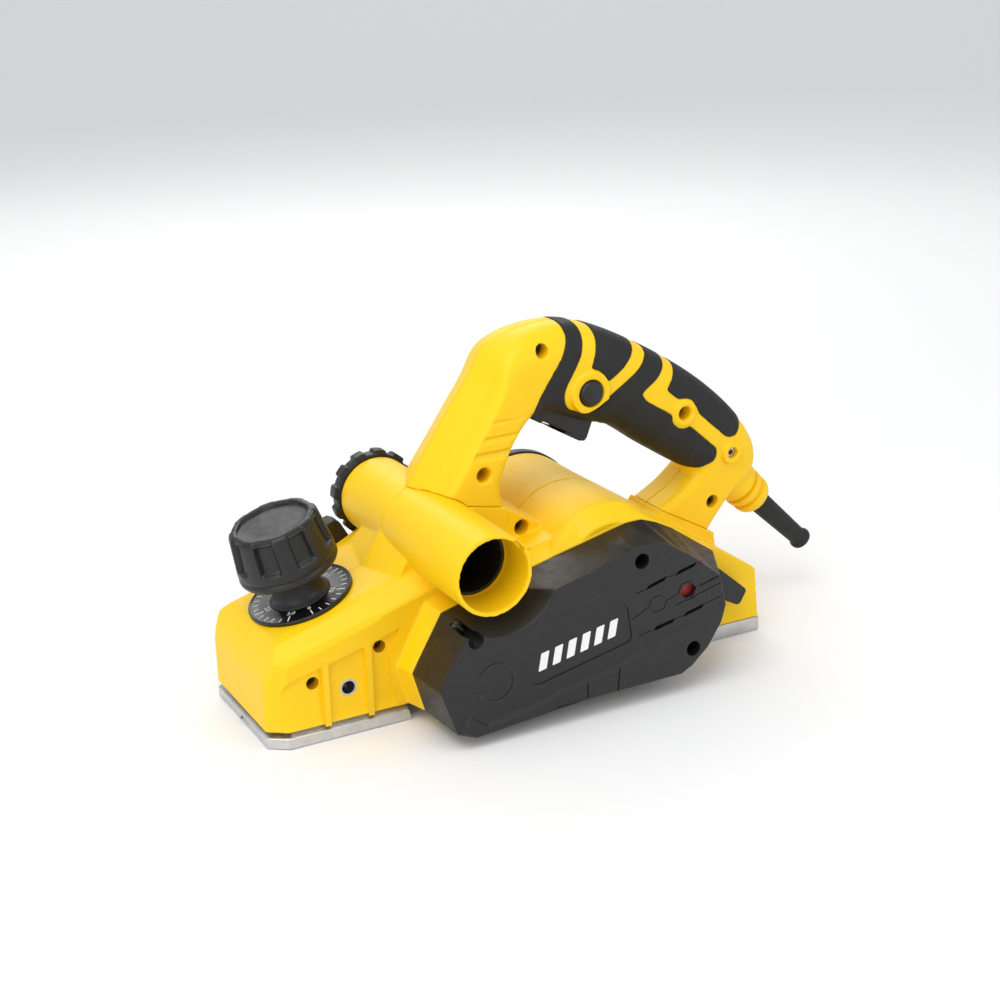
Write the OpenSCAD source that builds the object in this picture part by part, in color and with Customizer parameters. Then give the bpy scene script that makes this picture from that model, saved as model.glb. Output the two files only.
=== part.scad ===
// Electric hand planer, 82 mm cut. Millimetres, +Z up, toe towards -X,
// belt side towards -Y, sole in the plane z = 0, origin at the middle of the sole.
// Inside the modules x is counted from the toe; at_toe() moves it to the origin.

/* [Sole and cutter] */
// Length of the sole from toe to heel
sole_len = 288; // [284:1:294]
// Width of the sole and of the cut
cut_w = 82; // [80:1:83]
// Radius that the blade edges turn on
cut_r = 28.8; // [28:0.1:29]
// Radius of the drum body
drum_r = 27; // [25.5:0.5:27]
// Thickness of the rear shoe
shoe_t = 8; // [7:0.5:8]

/* [Depth setting] */
// Greatest depth of cut
depth_max = 3; // [1:0.5:3]
// Forward lean of the depth knob, degrees
knob_tilt = 16.4; // [15:0.2:18]
// Radius of the dial plate
dial_r = 27.2; // [25:0.2:27.5]
// Number of finger recesses round the knob
knob_flutes = 8; // [6:1:10]

/* [Chip outlet] */
// Outer radius of the outlet tube
tube_r = 20.7; // [20.4:0.1:21]
// Inner radius of the outlet tube
tube_bore_r = 18.5; // [18.3:0.1:18.8]

/* [Drive] */
// Radius of the belt on the motor pulley
pulley_drive_r = 9.9; // [9:0.1:12]
// Radius of the belt on the drum pulley
pulley_drum_r = 17.1; // [16:0.1:19]
// Radius of the stator
stator_r = 28; // [26:0.5:30]

/* [Handle] */
// Half width of the front riser at its foot
riser_w = 26.5; // [25:0.5:27]
// Half width of the grip
grip_w = 19.5; // [18:0.5:20]
// Thickness of the soft grip
pad_t = 1.6; // [1.2:0.1:2]

/* [Hidden] */
$fn = 64;
YEL = [0.98, 0.74, 0.03];
BLK = [0.10, 0.10, 0.105];
hw = cut_w / 2;
drum_x = 100; drum_z = cut_r + 0.2;
mot_x = 187; mot_z = 58; mot_r = 36.8;
tube_x = 101.7; tube_z = 87.2;
face_y = -84.5; part_y = -52; far_y = 50;
dial_x = 35.6; dial_z = 60.8;
foot_x = 222; foot_z = 42;

module at_toe() translate([-sole_len / 2, 0, 0]) children();
// profile drawn in x,z and extruded from y0 to y1
module prism(y0, y1, pts) translate([0, y1, 0]) rotate([90, 0, 0])
  linear_extrude(height = y1 - y0) polygon(pts);
// cylinder along Y
module cyl_y(x, z, y0, y1, r) translate([x, y0, z]) rotate([-90, 0, 0]) cylinder(h = y1 - y0, r = r);
// frame of the depth knob: origin at the dial's centre, Z along its axis
module knob_frame() translate([dial_x, 0, dial_z]) rotate([0, -knob_tilt, 0]) children();
function arc(cx, cz, r, a0, a1, n) = [for (i = [0:n]) let (a = a0 + (a1 - a0) * i / n) [cx + r * cos(a), cz + r * sin(a)]];

// ---- helical wire for springs: 8-sided tube, n turns, along +Z
module coil(r, wire, h, turns, seg = 12) {
  n = turns * seg;
  function ring(i) = let (t = 360 * i / seg, z = h * i / n)
    [for (k = [0:5]) let (a = 60 * k) [(r + wire * cos(a)) * cos(t), (r + wire * cos(a)) * sin(t), z + wire * sin(a)]];
  pts = [for (i = [0:n]) each ring(i)];
  faces = concat([[for (k = [0:5]) k]], [[for (k = [5:-1:0]) n * 6 + k]],
    [for (i = [0:n - 1], k = [0:5]) [i * 6 + k, (i + 1) * 6 + k, (i + 1) * 6 + (k + 1) % 6, i * 6 + (k + 1) % 6]]);
  polyhedron(points = pts, faces = faces);
}

// ---- handle: rings from the foot of the riser over the grip to the post
// each ring: outer x,z, inner x,z, half width, squareness
RINGS = [
  [101.5, 104.6, 139.8, 96.4, riser_w, 7],
  [107.5, 113.5, 137.6, 106.5, riser_w, 7],
  [116, 126, 139.8, 114.5, riser_w - 0.3, 7],
  [127, 142, 147.2, 128.5, riser_w - 1.3, 6],
  [137, 157, 157, 138.5, 24, 5],
  [143.5, 171, 166, 140, 22, 4],
  [153, 178.5, 176, 136.5, 21, 3.4],
  [167, 182.6, 187, 131.5, 20.2, 3],
  [181, 183.3, 197, 127, grip_w, 2.8],
  [195, 180.6, 205, 125, grip_w, 2.7],
  [210, 175, 212, 122.8, grip_w, 2.7],
  [228, 165.8, 221, 117, grip_w, 2.7],
  [247, 154.6, 232, 109, grip_w, 2.7],
  [266, 141.5, 243, 101.7, 19, 2.7],
  [283, 127, 252.5, 95.5, 18.4, 2.8],
  [296, 112.5, 259.5, 91, 17.6, 3],
  [304, 98, 262.3, 87.6, 16.8, 3.6],
  [303.5, 84, 259, 83.8, 16, 5],
  [292, 73.5, 251, 77.6, 15.6, 6],
  [275, 52, 239.8, 71.8, 15.4, 7]];
function sgn(v) = v < 0 ? -1 : 1;
function sup(v, n) = sgn(v) * pow(abs(v), 2 / n);
NS = 24;
function ring_pts(g, d) = let (dx = g[2] - g[0], dz = g[3] - g[1], L = sqrt(dx * dx + dz * dz),
    ox = g[0] + dx / L * d, oz = g[1] + dz / L * d, ix = g[2] - dx / L * d, iz = g[3] - dz / L * d,
    cx = (ox + ix) / 2, cz = (oz + iz) / 2, w = g[4] - d)
  [for (k = [0:NS - 1]) let (a = 360 * (k + 0.5) / NS, c = sup(cos(a), g[5]), s = sup(sin(a), g[5]))
    [cx + (ox - cx) * c, w * s, cz + (oz - cz) * c]];
module handle_loft(d = 0, i0 = 0, i1 = 19) {
  m = i1 - i0;
  pts = [for (i = [i0:i1]) each ring_pts(RINGS[i], d)];
  polyhedron(points = pts, faces = concat([[for (k = [NS - 1:-1:0]) k]], [[for (k = [0:NS - 1]) m * NS + k]],
    [for (i = [0:m - 1], k = [0:NS - 1]) each [[i * NS + k, i * NS + (k + 1) % NS, (i + 1) * NS + (k + 1) % NS],
      [i * NS + k, (i + 1) * NS + (k + 1) % NS, (i + 1) * NS + k]]]));
}
// soft zones of the grip, seen from the side
ZONE_A = [[180.5, 192], [182, 183], [181.5, 176], [177.5, 168], [171, 159.9], [164.1, 150.8], [156.5, 138.5], [148, 122],
  [205, 112], [250, 86], [254, 93], [258.5, 91.5], [264.8, 91.1], [273.6, 95], [274.5, 101.3],
  [255.8, 117.9], [253, 116.8], [248.4, 117.6], [244.2, 121.9], [244.2, 125.9], [227.5, 136.6], [225, 140.5],
  [226.5, 142.5], [234.4, 147.3], [239.4, 151.5], [242.5, 156], [248, 170], [236, 174], [232, 163], [229.5, 159.5], [223.5, 154.3], [213.7, 148], [204, 141.8],
  [197.2, 138.0], [191.4, 136], [185.7, 137.2], [180.9, 139.5], [178.1, 144.3], [177.7, 148.6], [179.7, 153.4], [184, 159.5],
  [188.8, 167.3], [191, 175], [191.5, 182], [191, 192]];
ZONE_B = [[198, 192], [199.5, 182], [199.5, 174], [197.5, 166.7], [194.4, 159.2], [198.2, 158.2], [202.1, 155], [204, 150.6], [213.7, 156.6], [221, 163], [224.5, 168], [228, 182]];
ZONE_C = [[256, 160], [250, 152.5], [245.5, 145.8], [240.6, 140.4], [248.1, 134.1], [252.7, 134], [257.8, 132.1], [260.5, 127.2], [262, 123.6], [280.7, 107], [286.5, 106.5], [290, 110], [296, 122], [270, 155]];
module zones(y0, y1) { prism(y0, y1, ZONE_A); prism(y0, y1, ZONE_B); prism(y0, y1, ZONE_C); }
HOLES = [[166, 172.5], [127.5, 115.6], [252.3, 125.6], [273.5, 70.4]];
TRIG = [[160.5, 143.2], [164.5, 134.4], [192.6, 117.9], [195.8, 117.3], [197.4, 118.8], [201.2, 128.5], [199.5, 133.5], [168, 148.6]];
TRIG_PX = 166; TRIG_PZ = 143;
collar_a = 43.4; // the cord leaves the handle this far below the horizontal
module cord_axis() translate([296, 0, 76.5]) rotate([0, 90 + collar_a, 0]) children();

// keel: ridge on the centre line, flanks out to the front corners
KEEL = [[95.5, 108.12, 103.5, 106.35, 18], [110.5, 130, 119.5, 129, 18], [125.4, 150.8, 133.5, 149.5, 17],
  [139.6, 171, 146.5, 168, 15], [147, 177, 153, 174, 11]];
module keel() {
  n = len(KEEL) - 1;
  polyhedron(points = [for (k = KEEL) each [[k[0], 0, k[1]], [k[2], -k[4], k[3]], [k[2], k[4], k[3]]]],
    faces = concat([[0, 1, 2]], [[3 * n, 3 * n + 2, 3 * n + 1]],
      [for (i = [0:n - 1], e = [[0, 1], [1, 2], [2, 0]]) each [[3 * i + e[0], 3 * i + 3 + e[1], 3 * i + e[1]], [3 * i + e[0], 3 * i + 3 + e[0], 3 * i + 3 + e[1]]]]));
}
module keel_foot() polyhedron(points = [[65.1, 0, 66], [71.05, -32.9, 66], [101.4, -24, 66], [101.4, 24, 66], [71.05, 32.9, 66], [95.4, 0, 108], [101.4, -18, 106.5], [101.4, 18, 106.5]],
  faces = [[0, 1, 2, 3, 4], [0, 5, 6], [0, 6, 1], [1, 6, 2], [2, 6, 7, 3], [3, 7, 4], [0, 4, 7], [0, 7, 5], [5, 7, 6]]);

module handle_solid(s) {
  difference() {
    union() {
      intersection() {
        handle_loft();
        translate([80, s < 0 ? -40 : 0, 40]) cube([260, 40, 170]);
      }
      // collar for the cord
      intersection() {
        cord_axis() cylinder(h = 23, r1 = 13.2, r2 = 11.6);
        translate([80, s < 0 ? -40 : 0, 40]) cube([260, 40, 170]);
      }
      if (s < 0) cyl_y(284, 97.6, -19.2, -6, 6.2);
      // keel down the front of the riser
      intersection() {
        keel();
        translate([80, s < 0 ? -40 : 0, 40]) cube([260, 40, 170]);
      }
    }
    // the riser stands on the outlet tube
    cyl_y(tube_x, tube_z, -40, 40, tube_r + 0.06);
    // seat of the soft grip
    difference() { zones(-40, 40); handle_loft(pad_t, 4, 17); }
    // hollow over the switch and the riser, and the trigger slot
    prism(-13, 13, [[172, 141], [178, 170], [204, 166], [234, 147], [232, 128], [212, 134], [200, 136]]);
    prism(-12, 12, [[121, 121], [137, 145], [146, 139], [136, 120]]);
    prism(-9.7, 9.7, [[158.5, 144], [162, 128], [200, 108], [206, 112], [206.5, 142], [166, 153]]);
    // screws run across from the belt side
    for (h = HOLES) {
      cyl_y(h[0], h[1], -40, -9, 3.6);
      cyl_y(h[0], h[1], -10, 15, 2.05);
    }
    // nut pocket
    translate([284, -20, 97.6]) rotate([-90, 0, 0]) cylinder(h = 8, r = 3.4, $fn = 6);
    cyl_y(284, 97.6, -13, 14, 1.7);
    // lock button
    cyl_y(193.6, 146.5, -30, -12, 7);
    // cord
    cord_axis() translate([0, 0, -12]) cylinder(h = 40, r = 5.6);
    cord_axis() translate([0, 0, 8]) cylinder(h = 20, r = 8.4);
  }
}
module handle_left() color(YEL) at_toe() handle_solid(-1);
module handle_right() color(YEL) at_toe() handle_solid(1);
module pad(s) intersection() {
  difference() {
    handle_loft(0, 4, 17);
    handle_loft(pad_t - 0.02, 3, 18);
    prism(-10, 10, [[150, 146], [158, 120], [200, 105], [207, 112], [207, 142], [166, 153]]);
    cyl_y(252.3, 125.6, -40, 40, 4);
  }
  zones(s < 0 ? -40 : 0, s < 0 ? 0 : 40);
}
module grip_pad_left() color(BLK) at_toe() pad(-1);
module grip_pad_right() color(BLK) at_toe() pad(1);

// ---- main housing
NOSE = [[0, 9], [0, 33], [1.2, 38.5], [3.6, 44], [7.2, 50.2], [9.6, 53.15], [90, 76.8], [90, 9]];
BODY = concat([[60, 9], [60, 67.95], [90, 76.8], [112, 79], [148, 79], [158, 81.2]],
  arc(mot_x, mot_z, mot_r - 0.4, 141, 57, 16), [[283.6, 38.6], [285, 36.6], [287.6, 8.2], [62, 8.2]]);
PART = [[77.3, 8.7], [71, 30.8], [87.8, 59.6], [96.3, 61.9], [140.6, 73.6], [194.3, 85.8], [200.9, 86.3], [210.3, 84.2],
  [222.5, 77.5], [248.8, 59.2], [252, 45], [244, 30], [228, 14], [215, 9.6], [153, 9.4], [88, 5.4]];
module side_plan() polygon([[0, -34.1], [9.4, -hw], [300, -hw], [300, hw], [9.4, hw], [0, 34.1]]);
module shoulder() rotate([0, -knob_tilt, 0]) rotate([90, 0, 90]) translate([0, 0, -60])
  linear_extrude(height = 420) polygon([[-hw, -90], [-hw, -9.6], [-39.4, -6.6], [-31, -1], [-26, 0], [26, 0], [31, -1], [39.4, -6.6], [hw, -9.6], [hw, -90]]);
module nose() intersection() {
  prism(-hw, hw, NOSE);
  linear_extrude(height = 90) side_plan();
  translate([dial_x, 0, dial_z]) shoulder();
}
module body_block() difference() {
  prism(-hw, hw, BODY);
  // shoulders over the cutter, level with those of the nose
  for (s = [-1, 1]) scale([1, s, 1]) translate([dial_x, 0, dial_z]) rotate([0, -knob_tilt, 0]) rotate([90, 0, 90]) translate([0, 0, 10])
    linear_extrude(height = 60) polygon([[hw + 1, -9.6], [39.4, -6.6], [31, -1], [26, 0], [26, 30], [hw + 1, 30]]);
}
module housing_outer() {
  nose();
  body_block();
  // belt side carrier
  hull() { prism(-hw, -hw + 1, [for (p = PART) [p[0] + (p[0] < 100 ? -3.2 : 0), p[1] + (p[1] > 50 ? 2 : 0)]]); prism(part_y, part_y + 0.6, PART); }
  // motor barrel
  cyl_y(mot_x, mot_z, -42, far_y, mot_r);
  translate([mot_x, -42.01, mot_z]) rotate([90, 0, 0]) cylinder(h = 9.5, r1 = mot_r, r2 = 29);
  hull() {
    cyl_y(mot_x, mot_z, -41, -36, mot_r - 0.35);
    prism(part_y, part_y + 0.6, [[150, 60], [150, 75.8], [194.3, 85.8], [200.9, 86.3], [210.3, 84.2], [222.5, 77.5], [240, 65.3], [240, 50]]);
  }
  // far side cheek over the drum end
  prism(hw - 1, far_y, [[66, 22], [73, 13.6], [127, 13.6], [152, 24], [152, 66], [140, 74], [96, 74], [72, 62], [66, 54]]);
  // outlet tube
  cyl_y(tube_x, tube_z, -84, 50.8, tube_r);
  // foot of the riser, its web and the foot of the rear post
  keel_foot();
  prism(-riser_w, riser_w, [[88, 82], [101.5, 104.5], [111, 102.4], [139.8, 96.3], [140, 78], [100, 76]]);
  prism(-26, 26, [[120, 90], [138.6, 96.4], [160.5, 83], [156, 72], [120, 72]]);
  prism(-15.6, 15.6, [[239.8, 71.7], [275, 51.9], [276, 42], [268, 40], [233, 62]]);
}
module drum_room() {
  cyl_y(drum_x, drum_z, -hw, hw, 31);
  prism(-hw, hw, [[73.4, 0], [73.4, 13], [71.9, 16], [71.9, 24], [131, 24], [131, 0]]);
}
module housing_cuts() {
  drum_room();
  // room for the front shoe and its lifting screw
  prism(-29.5, 29.5, [[2.8, 0], [2.8, 33], [10.4, 49.6], [62, 64.6], [64, 62], [64, 16], [79, 16], [79, 0]]);
  prism(-36.4, 36.4, [[3.2, 0], [3.2, 31], [8.4, 41.4], [62, 57.2], [64, 54], [64, 16], [79, 16], [79, 0]]);
  difference() {
    translate([0, 0, 0]) linear_extrude(height = 12.5) polygon([[0.7, -33.9], [9.7, -hw + 0.55], [80, -hw + 0.55], [80, hw - 0.55], [9.7, hw - 0.55], [0.7, 33.9]]);
    translate([0, 0, 12.51]) cube([1, 1, 1]);
  }
  knob_frame() translate([0, 0, -30]) cylinder(h = 34, r = 6.2);
  knob_frame() translate([0, 0, -3.4]) cylinder(h = 8, r = dial_r - 8);
  // chip duct and outlet
  cyl_y(tube_x, tube_z, -61, 52, tube_bore_r - 0.5);
  cyl_y(tube_x, tube_z, -62, -60.9, tube_bore_r + 0.6);
  cyl_y(tube_x, tube_z, -85, -61.5, tube_bore_r);
  prism(-33, 33, [[83, 50], [119, 50], [112, 76], [90, 76]]);
  // bayonet notch in the rim
  translate([tube_x, -85, tube_z]) rotate([0, -42, 0]) translate([15, 0, -4]) cube([4.6, 7, 8]);
  // motor and wiring rooms
  cyl_y(mot_x, mot_z, -40, far_y + 1, 33.6);
  prism(-36, 36, [[227, 12], [227, 66], [276, 36.5], [281, 30], [281, 12]]);
  // bearing seats and shaft holes
  cyl_y(drum_x, drum_z, part_y - 1, -43.4, 11.05);
  cyl_y(drum_x, drum_z, -44, -40, 6.6);
  cyl_y(drum_x, drum_z, 40, 48.6, 11.05);
  cyl_y(mot_x, mot_z, part_y - 1, -43.4, 11.05);
  cyl_y(mot_x, mot_z, -44, -38, 6.6);
  // travel of the front shoe under the body
  translate([-1, -hw - 0.04, -1]) cube([79, 2 * hw + 0.08, 9.9]);
  // rear shoe beside the belt side carrier
  translate([106, -hw - 0.04, -1]) cube([190, 2 * hw + 0.08, shoe_t + 1.1]);
  // bay of the parking foot
  prism(-50.4, -42.4, [[205, 54], [262, 54], [262, 0], [205, 0], [205, 30]]);
  cyl_y(foot_x, foot_z, -60, -37, 2.55);
  // recessed side panels of the nose
  for (s = [-1, 1]) difference() {
    intersection() {
      scale([1, s, 1]) prism(-hw - 1, -38.9, [[12, 5], [11, 20], [13.5, 36.8], [29, 40.3], [54, 46.3], [78.2, 54.1], [71.2, 45], [67.9, 37], [66.9, 32], [67.2, 24], [71.2, 12.9], [72, 5]]);
      scale([1, s, 1]) rotate([90, 0, 90]) linear_extrude(height = 90) polygon([[-hw - 2, 12.9], [-hw, 12.9], [-38.8, 15.4], [-38.8, 70], [-hw - 2, 70]]);
    }
    prism(-hw, hw, [[28.2, 8], [29, 41.4], [31, 41.8], [32, 8]]);
    prism(-hw, hw, [[51.2, 8], [52, 46.2], [54.4, 46.8], [55.2, 8]]);
  }
  // body screws
  for (h = [[23.8, 31.6], [60.1, 42.7]]) { cyl_y(h[0], h[1], -50, -30, 4.2); cyl_y(h[0], h[1], -31, 30, 2.05); }
  cyl_y(148.3, 83.6, -40, -16, 4.2); cyl_y(148.3, 83.6, -17, 18, 2.05);
  // cover screws
  for (h = CSCREW) cyl_y(h[0], h[1], -53, -40.5, 1.75);
  // fence insert, on both sides
  cyl_y(42.5, 24.8, -42, -29, 4.55);
  // stud of the depth stop
  cyl_y(82, 40, 44, 51, 2.65);
  // end cap spigot clearance
  for (a = [45, 165, 285]) translate([mot_x, 0, mot_z]) rotate([0, a, 0]) cyl_y(35, 0, 38, 51, 1);
}
module bosses() {
  for (h = [[23.8, 31.6], [60.1, 42.7]]) cyl_y(h[0], h[1], -39, 39, 5.6);
  cyl_y(42.5, 24.8, -39, -29, 6.4);
}
module screw_bores() {
  for (h = [[23.8, 31.6], [60.1, 42.7]]) { cyl_y(h[0], h[1], -50, -30, 4.2); cyl_y(h[0], h[1], -31, 30, 2.05); }
  cyl_y(42.5, 24.8, -42, -28, 4.55);
}
module housing(s) intersection() {
  union() {
    difference() { housing_outer(); housing_cuts(); }
    difference() { bosses(); screw_bores(); }
  }
  translate([-10, s < 0 ? -100 : 0, -5]) cube([320, 100, 140]);
}
CSCREW = [[90.6, 56.2], [184.4, 77.4], [214.3, 23.8]];
module housing_left() color(YEL) at_toe() housing(-1);
module housing_right() color(YEL) at_toe() housing(1);

// ---- belt cover
FACE = [[79.4, 9], [70.8, 33.4], [74.4, 41], [80.4, 50.9], [88, 59.4], [96, 61.6], [131.9, 72.4], [152.3, 76.6], [173.7, 82.2], [180.1, 85.2],
  [190.4, 85.6], [200.8, 82.9], [210.1, 76.2], [217, 71.6], [231, 60], [235, 43], [233, 35.2], [224.5, 22.3], [214.5, 13.5], [207.7, 10.2], [153, 10], [89, 4.9]];
module belt_cover() color(BLK) at_toe() difference() {
  union() {
    // the rear end leans in towards the face
    hull() { prism(part_y - 6, part_y - 0.05, PART); prism(face_y, face_y + 0.5, FACE); }
    // raised lower field
    prism(face_y - 1.6, face_y + 2, [[84, 17.6], [96.2, 9.4], [126.7, 16.6], [129.2, 18.2], [145.6, 20.9], [154.5, 21.8], [163.5, 23.2], [170.6, 25.6], [194.8, 31.4], [232.3, 41.2], [233, 35.2], [224.5, 22.3], [214.5, 13.5], [207.7, 10.2], [153, 10], [89, 4.9], [81, 8.6]]);
  }
  // room inside
  difference() {
    prism(face_y + 2.6, part_y + 1, [[80, 12], [74, 33], [91, 56.5], [128, 67.5], [194, 82.3], [200, 82.3], [209, 78.5], [227, 62.5], [231, 43], [220, 21], [210, 13], [153, 12.6], [89, 8]]);
    for (h = CSCREW) cyl_y(h[0], h[1], -90, -40, 6.2);
    translate([106.4, face_y - 4, 86.6]) rotate([-90, 0, 0]) cylinder(h = 29, r1 = 35.6, r2 = 24);
    cyl_y(tube_x, tube_z, -90, -40, tube_r + 2.8);
  }
  // scoop round the outlet tube
  translate([106.4, face_y - 4, 86.6]) rotate([-90, 0, 0]) cylinder(h = 29, r1 = 33.2, r2 = 21.6);
  cyl_y(tube_x, tube_z, -90, -50, tube_r + 0.6);
  // screws
  for (h = CSCREW) { cyl_y(h[0], h[1], -90, -64, 4.1); cyl_y(h[0], h[1], -65, -50, 2.2); }
  // field for a label, blank
  prism(face_y - 3, face_y + 0.7, [[116.1, 45.7], [120.5, 48.7], [171.9, 58.8], [175.7, 54.9], [178.4, 38.1], [176.4, 35.5], [124.4, 24.7], [120.1, 26.4], [117.1, 31.3]]);
  // cooling slots
  for (v = [[186, 62.7, 197.7, 65.6], [203.6, 66.7, 215.5, 69.5], [190.8, 39.3, 202.9, 41.5], [208.6, 43, 220.6, 45.6]])
    prism(face_y - 3, face_y + 6, [[v[0], v[1] - 1.1], [v[2], v[3] - 1.1], [v[2] + 1.4, v[3] + 1.2], [v[0] + 1.4, v[1] + 1.2]]);
  translate([211.7, face_y - 3, 55.9]) rotate([-90, 0, 0]) rotate([0, 0, 8]) cylinder(h = 8, r = 4.6, $fn = 6);
}
module cover_screws() color([0.35, 0.35, 0.37]) at_toe() for (h = CSCREW) {
  cyl_y(h[0], h[1], -66.9, -64.1, 3.7); cyl_y(h[0], h[1], -65, -41.2, 1.7);
}

// ---- motor end cap on the far side
module motor_end_cap() color(BLK) at_toe() difference() {
  union() {
    cyl_y(mot_x, mot_z, far_y + 0.05, 56, 37.6);
    translate([mot_x, 55.99, mot_z]) rotate([-90, 0, 0]) cylinder(h = 5, r1 = 37.6, r2 = 31);
    cyl_y(mot_x, mot_z, 46.5, far_y + 0.1, 33.4);
  }
  translate([mot_x, 0, mot_z]) difference() { cyl_y(0, 0, 45, 57.4, 30.8); cyl_y(0, 0, 44, 60, 12.6); for (a = [0:90:270]) rotate([0, a, 0]) translate([10, 44, -1.4]) cube([22, 20, 2.8]); }
  cyl_y(mot_x, mot_z, 45, 57.3, 9.55);
  for (i = [0:11]) translate([mot_x, 0, mot_z]) rotate([0, 30 * i + 15, 0]) translate([16, 50, -2]) cube([12, 14, 4]);
}

// ---- shoes
module shoe_plan(d) polygon([[d + (d > 0 ? 1 : 0), -34.1 + d * 0.4], [9.4 + d * 0.4 + (d > 0 ? 1 : 0), -hw + d], [76, -hw + d], [76, hw - d], [9.4 + d * 0.4 + (d > 0 ? 1 : 0), hw - d], [d + (d > 0 ? 1 : 0), 34.1 - d * 0.4]]);
module front_shoe() color([0.72, 0.73, 0.74]) at_toe() difference() {
  union() {
    linear_extrude(height = 5.6) shoe_plan(0);
    difference() {
      translate([0, 0, 5.5]) linear_extrude(height = 3.8) shoe_plan(0.75);
      translate([8, -36, 5.6]) cube([62, 72, 8]);
    }
    // lifting boss and guide posts, leaning with the knob
    intersection() {
      knob_frame() translate([0, 0, -62]) cylinder(h = 30, r = 9);
      translate([30, -12, 2]) cube([40, 24, 40]);
    }
    for (s = [-1, 1]) intersection() {
      knob_frame() translate([-4, s * 20 - 4, -62]) cube([10, 8, 34]);
      translate([20, -30, 2]) cube([50, 60, 40]);
    }
  }
  // thread of the depth screw
  knob_frame() translate([0, 0, -54]) cylinder(h = 30, r = 4.05);
  // guide groove for chamfering
  rotate([90, 0, 90]) translate([0, 0, -1]) linear_extrude(height = 90) polygon([[-4.6, -0.01], [0, 3.9], [4.6, -0.01]]);
  // rear edge leans back from the cutter
  prism(-50, 50, [[75.6, -1], [77, -1], [77, 13], [72.6, 13], [73.2, 8.6]]);
}
module rear_shoe() color([0.74, 0.75, 0.76]) at_toe() difference() {
  prism(-hw, hw, [[107.4, 0], [287.9, 0], [288, 1], [288, shoe_t], [123, shoe_t], [119.6, 5]]);
  for (x = [136, 272], y = [-30, 30]) translate([x, y, -1]) { cylinder(h = 20, r = 2.3); cylinder(h = 4.2, r = 4.4); }
}
module base_screws() color([0.35, 0.35, 0.37]) at_toe() for (x = [136, 272], y = [-30, 30]) translate([x, y, 0.4]) {
  cylinder(h = 2.6, r = 4); cylinder(h = shoe_t - 0.5, r = 2.1);
}

// ---- depth knob
module depth_knob() color(BLK) at_toe() knob_frame() difference() {
  union() {
    translate([0, 0, 1.7]) rotate_extrude() polygon([[0, 0], [15.2, 0], [13.2, 2.4], [12.6, 4.5], [12.3, 13], [19, 14.2], [24.2, 15.6], [25.6, 17.4],
      [25.6, 20.2], [24.6, 21.2], [22.6, 41.5], [20.8, 43.8], [18.6, 44.2], [17.9, 43.2], [0, 43.2]]);
  }
  for (i = [0:knob_flutes - 1]) rotate([0, 0, 360 / knob_flutes * (i + 0.5) + 8])
    translate([25.8, 0, 25.4]) rotate([0, -5.6, 0]) translate([-3.9, -5.4, 0]) cube([10, 10.8, 21]);
  translate([0, 0, -2]) cylinder(h = 26, r = 4.06);
}
module dial_plate() color([0.08, 0.08, 0.085]) at_toe() knob_frame() difference() {
  translate([0, 0, 0.15]) rotate_extrude() polygon([[4.2, 0], [dial_r, 0], [dial_r, 1.7], [dial_r - 0.7, 2.1], [dial_r - 1.5, 1.5], [15.4, 1.5], [4.2, 1.5]]);
  translate([0, 0, -1]) cylinder(h = 4, r = 4.12);
}
module depth_screw() color([0.62, 0.62, 0.64]) at_toe() knob_frame() {
  translate([0, 0, -46]) cylinder(h = 68, r = 4);
  translate([0, 0, -2.9]) cylinder(h = 2.9, r = 9);
}
module knob_detent_spring() color([0.7, 0.7, 0.72]) at_toe() knob_frame() translate([0, 0, -9.7]) difference() { cylinder(h = 1.2, r = 6); translate([0, 0, -1]) cylinder(h = 4, r = 4.3); }
module fence_insert() color([0.55, 0.56, 0.57]) at_toe() difference() { cyl_y(42.5, 24.8, -38.9, -29, 4.5); cyl_y(42.5, 24.8, -40, -20, 3.4); }

// ---- chip outlet
module chip_sleeve() color(BLK) at_toe() difference() {
  cyl_y(tube_x, tube_z, -60.4, 51.2, tube_bore_r - 0.58);
  difference() {
    cyl_y(tube_x, tube_z, -63, 49.4, tube_bore_r - 2);
    // slanted wall that turns the chips to one side
    intersection() {
      cyl_y(tube_x, tube_z, -62, 52, tube_bore_r - 1.9);
      translate([tube_x - 25, 0, 0]) rotate([90, 0, 90]) linear_extrude(height = 50) polygon([[24, 66], [27, 66], [50, 108], [46, 108]]);
    }
  }
  // window over the drum
  translate([tube_x - 11, -33, tube_z - 30]) cube([22, 56, 22]);
}
module chip_selector_cap() color(BLK) at_toe() difference() {
  union() {
    cyl_y(tube_x, tube_z, 51.3, 59.5, 21.2);
    for (i = [0:11]) translate([tube_x, 0, tube_z]) rotate([0, 30 * i + 10, 0]) translate([19, 51.3, -3.4]) cube([5, 8.2, 6.8]);
  }
  cyl_y(tube_x, tube_z, 56, 61, 15);
  cyl_y(tube_x, tube_z, 50, 62, 3);
}

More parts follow.
